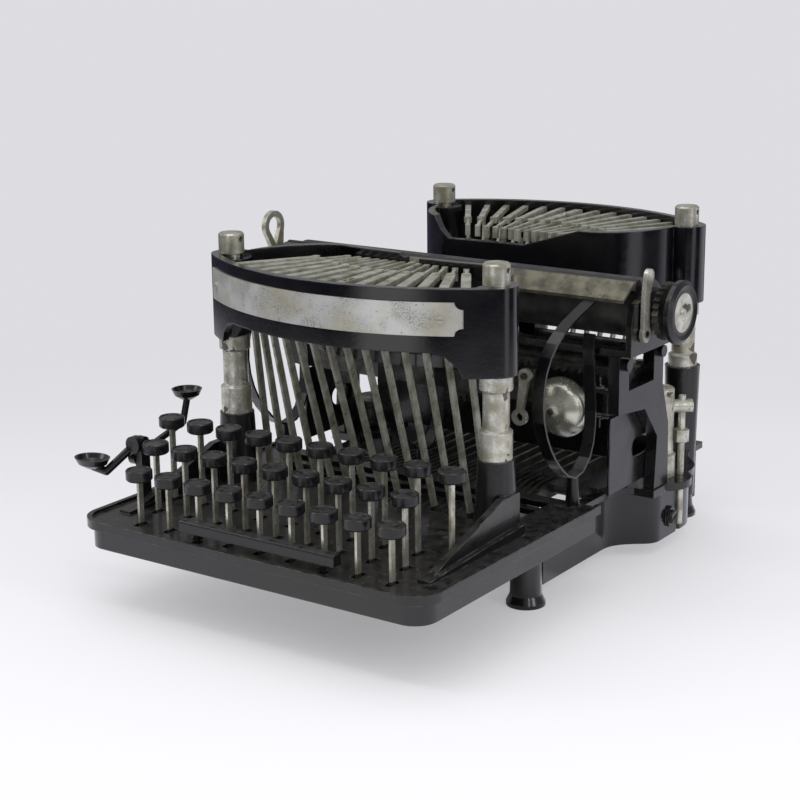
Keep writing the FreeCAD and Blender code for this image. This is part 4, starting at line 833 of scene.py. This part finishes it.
@dataclass
class Fittings:
    """The shift levers, the basket's bands, the small parts that the frame leaves out and a dark plate of painted
    shade inside the base.
    """

    black: tuple[str, ...] = ("shift_lever_low", "shift_lever_high", "basket_bands")
    screws: tuple[SlottedScrew, ...] = (
        SlottedScrew("pad_screw_right", Place((99.7, 68.5, 17.5), (1.0, 0.0, 0.0), 25.0), 3.6, 1.6),
        SlottedScrew("pad_screw_left", Place((-99.7, 68.5, 17.5), (-1.0, 0.0, 0.0), 70.0), 3.6, 1.6),
        SlottedScrew("bell_screw", Place((69.5, -5.45, 86.2), (0.0, -1.0, 0.0), 40.0), 1.7, 1.3),
        SlottedScrew("bracket_screw_inner", Place((74.0, 53.0, 101.0)), 2.2, 1.4, Dress.NICKEL),
        SlottedScrew("bracket_screw_outer", Place((87.0, 53.0, 101.0), turn_deg=60.0), 2.2, 1.4, Dress.NICKEL),
    )
    shield_sides: tuple[tuple[str, float], ...] = (("right", 92.9), ("left", -92.9))
    shield_outline: tuple[Flat, ...] = ((-24.0, -30.0), (25.0, -30.0), (25.0, 29.0), (18.0, 29.0), (-4.0, 29.0),
                                        (-4.0, 9.0), (-24.0, 9.0))
    frame_half: float = 76.0
    frame_low: float = -28.0
    frame_top: float = 26.0
    wave: float = 3.0
    # The outline of the dark plate of painted shade that closes the base's hollow, in millimetres.
    painted_shade_outline: tuple[Flat, ...] = ((-66.0, -14.2), (66.0, -14.2), (66.0, 12.0), (-66.0, 12.0))
    springs: tuple[Flat, ...] = ((77.0, 30.5), (82.0, 30.5))
    spring_height: float = 84.0
    coil_radius: float = 1.9
    coil_pitch: float = 1.44
    coil_points: int = 12
    wire_radius: float = 0.42

    def side_shields(self) -> None:
        """Cuts the japanned plates inside the rail brackets, with their round-ended windows."""
        window = arc((4.0, -12.0), 5.0, 90.0, 270.0) + arc((13.0, -12.0), 5.0, -90.0, 90.0)
        for side, x in self.shield_sides:
            put("side_shield_" + side, plate("side_shield", [list(self.shield_outline), window], 1.6, 0.3),
                Place((x, 34.5, 73.5), (1.0, 0.0, 0.0)), Dress.BLACK_FITTING)

    def cross_frame(self) -> None:
        """Cuts the cast cross frame behind the carriage, with its waved top edge."""
        half = int(self.frame_half)
        top = [(float(x), self.frame_top + self.wave * math.cos(x / 12.0)) for x in range(half, -half - 1, -4)]
        outline = [(-self.frame_half, self.frame_low), (self.frame_half, self.frame_low)] + top
        put("rear_cross_frame", plate("cross_frame", [outline], 2.4, 0.5),
            Place((0.0, 63.6, 73.0), (0.0, -1.0, 0.0)), Dress.BLACK_FITTING)

    def painted_shade_plate(self) -> None:
        """Cuts a dark plate behind the lever ends that closes the base's hollow: painted shade, standing where the
        inside of the base lies in shadow and the bright floor behind would show through.
        """
        put("painted_shade_plate", plate("painted_shade_mesh", [list(self.painted_shade_outline)], 2.4, 0.5),
            Place((0.0, 112.0, 16.0), (0.0, -1.0, 0.0)), Dress.BLACK_FITTING)

    def hook_plate(self) -> None:
        """Cuts the nickelled hook plate at the right end of the rails."""
        outline = ([(-26.0, -6.0), (10.0, -6.0), (10.0, 6.0), (-12.0, 6.0)]
                   + arc((-17.0, 2.0), 4.0, 40.0, 200.0, 8) + [(-26.0, 0.5)])
        put("rail_hook_plate", plate("hook_plate", [outline], 2.4, 0.4), Place((83.6, 53.0, 99.6)), Dress.NICKEL)

    def escapement_springs(self) -> None:
        """Winds the two small draw springs beside the bell, each with a straight tail at both ends."""
        coil = []
        for step in range(134):
            turn = step / self.coil_points
            coil.append((self.coil_radius * math.cos(turn * math.tau), self.coil_radius * math.sin(turn * math.tau),
                         -8.0 + turn * self.coil_pitch))
        points = [(0.0, 0.0, -13.0), (0.0, 0.0, -8.6)] + coil + [(0.0, 0.0, 8.6), (0.0, 0.0, 13.0)]
        for number, (x, y) in enumerate(self.springs, 1):
            name = "draw_spring_%d" % number
            put(name, wire(name, points, self.wire_radius), Place((x, y, self.spring_height)), Dress.NICKEL)

    def dress(self) -> None:
        """Japans the levers and bands and adds the small parts."""
        for node in self.black:
            wear(node, material_for(Dress.BLACK_FITTING))
        for screw in self.screws:
            screw.build()
        self.side_shields()
        self.cross_frame()
        self.painted_shade_plate()
        self.hook_plate()
        self.escapement_springs()


# Studio.


@dataclass(frozen=True)
class Lamp:
    """One soft lamp: where it hangs, how large it is and how strong."""

    name: str
    place: Spot
    size: Flat
    power: float
    colour: str = "#FFFFFF"


@dataclass(frozen=True)
class FloorTone:
    """A tone that the floor takes for one kind of ray, far from a spot or towards one side.

    With a way to look, the limits are cosines to that way from the machine's middle. Else they
    are distances from the spot, in metres.
    """

    colour: str
    ray: str
    start: float
    full: float
    spot: Spot = (0.0, 0.0, 0.0)
    toward: Spot | None = None

    def share(self, tree: Tree, rays: bpy.types.Node) -> Socket:
        """Gives the share of the tone over the floor.

        Args:
            tree: The floor's node tree.
            rays: Its Light Path node.

        Returns:
            A socket from 0 to 1.
        """
        rest = add_node(tree, "ShaderNodeTexCoord").outputs["Object"]
        if self.toward:
            way = add_node(tree, "ShaderNodeVectorMath", {0: rest}, operation="NORMALIZE").outputs[0]
            value = add_node(tree, "ShaderNodeVectorMath", {0: way, 1: self.toward}, operation="DOT_PRODUCT")
        else:
            value = add_node(tree, "ShaderNodeVectorMath", {0: rest, 1: self.spot}, operation="DISTANCE")
        fade = add_node(tree, "ShaderNodeMapRange",
                        {"Value": value.outputs["Value"], "From Min": self.start, "From Max": self.full},
                        interpolation_type="SMOOTHSTEP")
        return combined(tree, "MULTIPLY", fade.outputs["Result"], rays.outputs[self.ray])


@dataclass
class Studio:
    """A plain pale floor, soft lamps, an even sky and the camera at the photograph's place.

    Upright gloss mirrors the floor in front of it, so the floor's tones for glossy rays stand in
    for a real studio's pale cards and its dark room.
    """

    floor_half: float = 30.0
    floor_colour: str = "#E9E8EA"
    far_colour: str = "#DDDDE1"
    lift: float = 0.28
    lift_colour: str = "#F7F6F8"
    tones: tuple[FloorTone, ...] = (
        FloorTone("#3B3948", "Is Glossy Ray", 0.3, 0.75),
        FloorTone("#DDDDE1", "Is Camera Ray", 0.32, 1.0, spot=(0.31, -0.44, 0.0)),
        FloorTone("#FFFFFF", "Is Glossy Ray", 0.955, 0.995, toward=(0.05, -1.0, 0.0)),
        FloorTone("#E8E8EE", "Is Glossy Ray", 0.97, 0.998, toward=(0.99, -0.14, 0.0)),
        FloorTone("#DCDCE6", "Is Glossy Ray", 0.86, 0.98, toward=(0.57, 0.82, 0.0)),
    )
    sky: float = 1.1
    mirrored_sky: float = 0.44
    seen_sky: float = 0.98
    aim: Spot = (0.0, 0.0, 0.08)
    lamps: tuple[Lamp, ...] = (
        Lamp("overhead_box", (-0.2, -0.1, 1.5), (1.5, 1.0), 4.5),
        Lamp("left_box", (-1.3, -0.9, 0.9), (0.5, 1.0), 4.0),
        Lamp("overhead_strip", (0.1, -0.5, 1.2), (1.5, 0.1), 3.2),
        Lamp("right_strip", (1.0, -0.75, 0.75), (0.07, 0.9), 1.6),
        Lamp("right_box", (1.4, -0.2, 0.7), (0.35, 0.9), 3.5),
    )
    camera_place: Spot = (0.49465, -0.73905, 0.31938)
    azimuth_deg: float = 35.01
    elevation_deg: float = 15.0
    roll_deg: float = -0.64
    lens_mm: float = 81.57
    sensor_mm: float = 36.0
    clip: Flat = (0.01, 100.0)

    def floor_material(self) -> bpy.types.Material:
        """Makes the floor's paper, its shadow a little lifted, with the tones for each kind of ray."""
        material = bpy.data.materials.new("matt_paper_floor")
        material.use_nodes = True
        tree = material.node_tree
        tree.nodes.clear()
        rays = add_node(tree, "ShaderNodeLightPath")
        shown = add_node(tree, "ShaderNodeBsdfDiffuse", {"Color": linear(self.floor_colour)}).outputs[0]
        lifted = combined(tree, "MULTIPLY", rays.outputs["Is Camera Ray"], self.lift)
        shares = [(lifted, self.lift_colour)] + [(tone.share(tree, rays), tone.colour) for tone in self.tones]
        for share, colour in shares:
            glow = add_node(tree, "ShaderNodeEmission", {"Color": linear(colour), "Strength": 1.0}).outputs[0]
            shown = add_node(tree, "ShaderNodeMixShader", {0: share, 1: shown, 2: glow}).outputs[0]
        add_node(tree, "ShaderNodeOutputMaterial", {"Surface": shown})
        return material

    def build_floor(self) -> None:
        """Lays the floor."""
        mesh = bpy.data.meshes.new("floor")
        half = self.floor_half
        mesh.from_pydata([(-half, -half, 0), (half, -half, 0), (half, half, 0), (-half, half, 0)], [],
                         [(0, 1, 2, 3)])
        mesh.materials.append(self.floor_material())
        floor = bpy.data.objects.new("floor", mesh)
        bpy.context.collection.objects.link(floor)
        LOG.info("floor laid")

    def build_sky(self) -> None:
        """Makes the even pale light all round: dim in mirrors, near white where the camera sees it."""
        world = bpy.data.worlds.new("studio")
        world.use_nodes = True
        tree = world.node_tree
        tree.nodes.clear()
        rays = add_node(tree, "ShaderNodeLightPath")
        strength: Any = self.sky
        for ray, value in (("Is Glossy Ray", self.mirrored_sky), ("Is Camera Ray", self.seen_sky)):
            strength = add_node(tree, "ShaderNodeMix", {0: rays.outputs[ray], 2: strength, 3: value},
                                data_type="FLOAT").outputs[0]
        back = add_node(tree, "ShaderNodeBackground", {"Color": linear(self.far_colour), "Strength": strength})
        add_node(tree, "ShaderNodeOutputWorld", {"Surface": back.outputs[0]})
        bpy.context.scene.world = world

    def build_lamps(self) -> None:
        """Hangs the lamps, each aimed at the machine."""
        for lamp in self.lamps:
            data = bpy.data.lights.new(lamp.name, "AREA")
            data.shape = "RECTANGLE"
            data.size, data.size_y = lamp.size
            data.energy = lamp.power
            data.color = linear(lamp.colour)[:3]
            thing = bpy.data.objects.new(lamp.name, data)
            thing.location = lamp.place
            way = Vector(self.aim) - Vector(lamp.place)
            thing.rotation_euler = way.to_track_quat("-Z", "Y").to_euler()
            bpy.context.collection.objects.link(thing)
            LOG.info("lamp %s hung", lamp.name)

    def build_camera(self) -> None:
        """Sets the camera where the photograph was taken from."""
        azimuth, elevation, roll = (math.radians(v) for v in (self.azimuth_deg, self.elevation_deg, self.roll_deg))
        look = Vector((-math.sin(azimuth) * math.cos(elevation), math.cos(azimuth) * math.cos(elevation),
                       -math.sin(elevation)))
        right = Vector((math.cos(azimuth), math.sin(azimuth), 0.0))
        above = right.cross(look)
        level_right = right * math.cos(roll) + above * math.sin(roll)
        level_above = above * math.cos(roll) - right * math.sin(roll)
        data = bpy.data.cameras.new("photo_camera")
        data.lens = self.lens_mm
        data.sensor_width = self.sensor_mm
        data.clip_start, data.clip_end = self.clip
        camera = bpy.data.objects.new("photo_camera", data)
        turn = Matrix((level_right, level_above, -look)).transposed()
        camera.matrix_world = Matrix.Translation(self.camera_place) @ turn.to_4x4()
        bpy.context.collection.objects.link(camera)
        bpy.context.scene.camera = camera

    def build(self) -> None:
        """Builds the whole studio."""
        self.build_floor()
        self.build_sky()
        self.build_lamps()
        self.build_camera()
        bpy.context.scene.view_settings.view_transform = "Standard"


def main() -> None:
    """Dresses the machine and builds the studio."""
    logging.basicConfig(level=logging.INFO, format="%(message)s")
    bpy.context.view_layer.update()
    for assembly in (Casting(), Posts(), TypeTrays(), Keyboard(), Carriage(), Fittings()):
        assembly.dress()
    Studio().build()


if __name__ == "__main__":
    main()
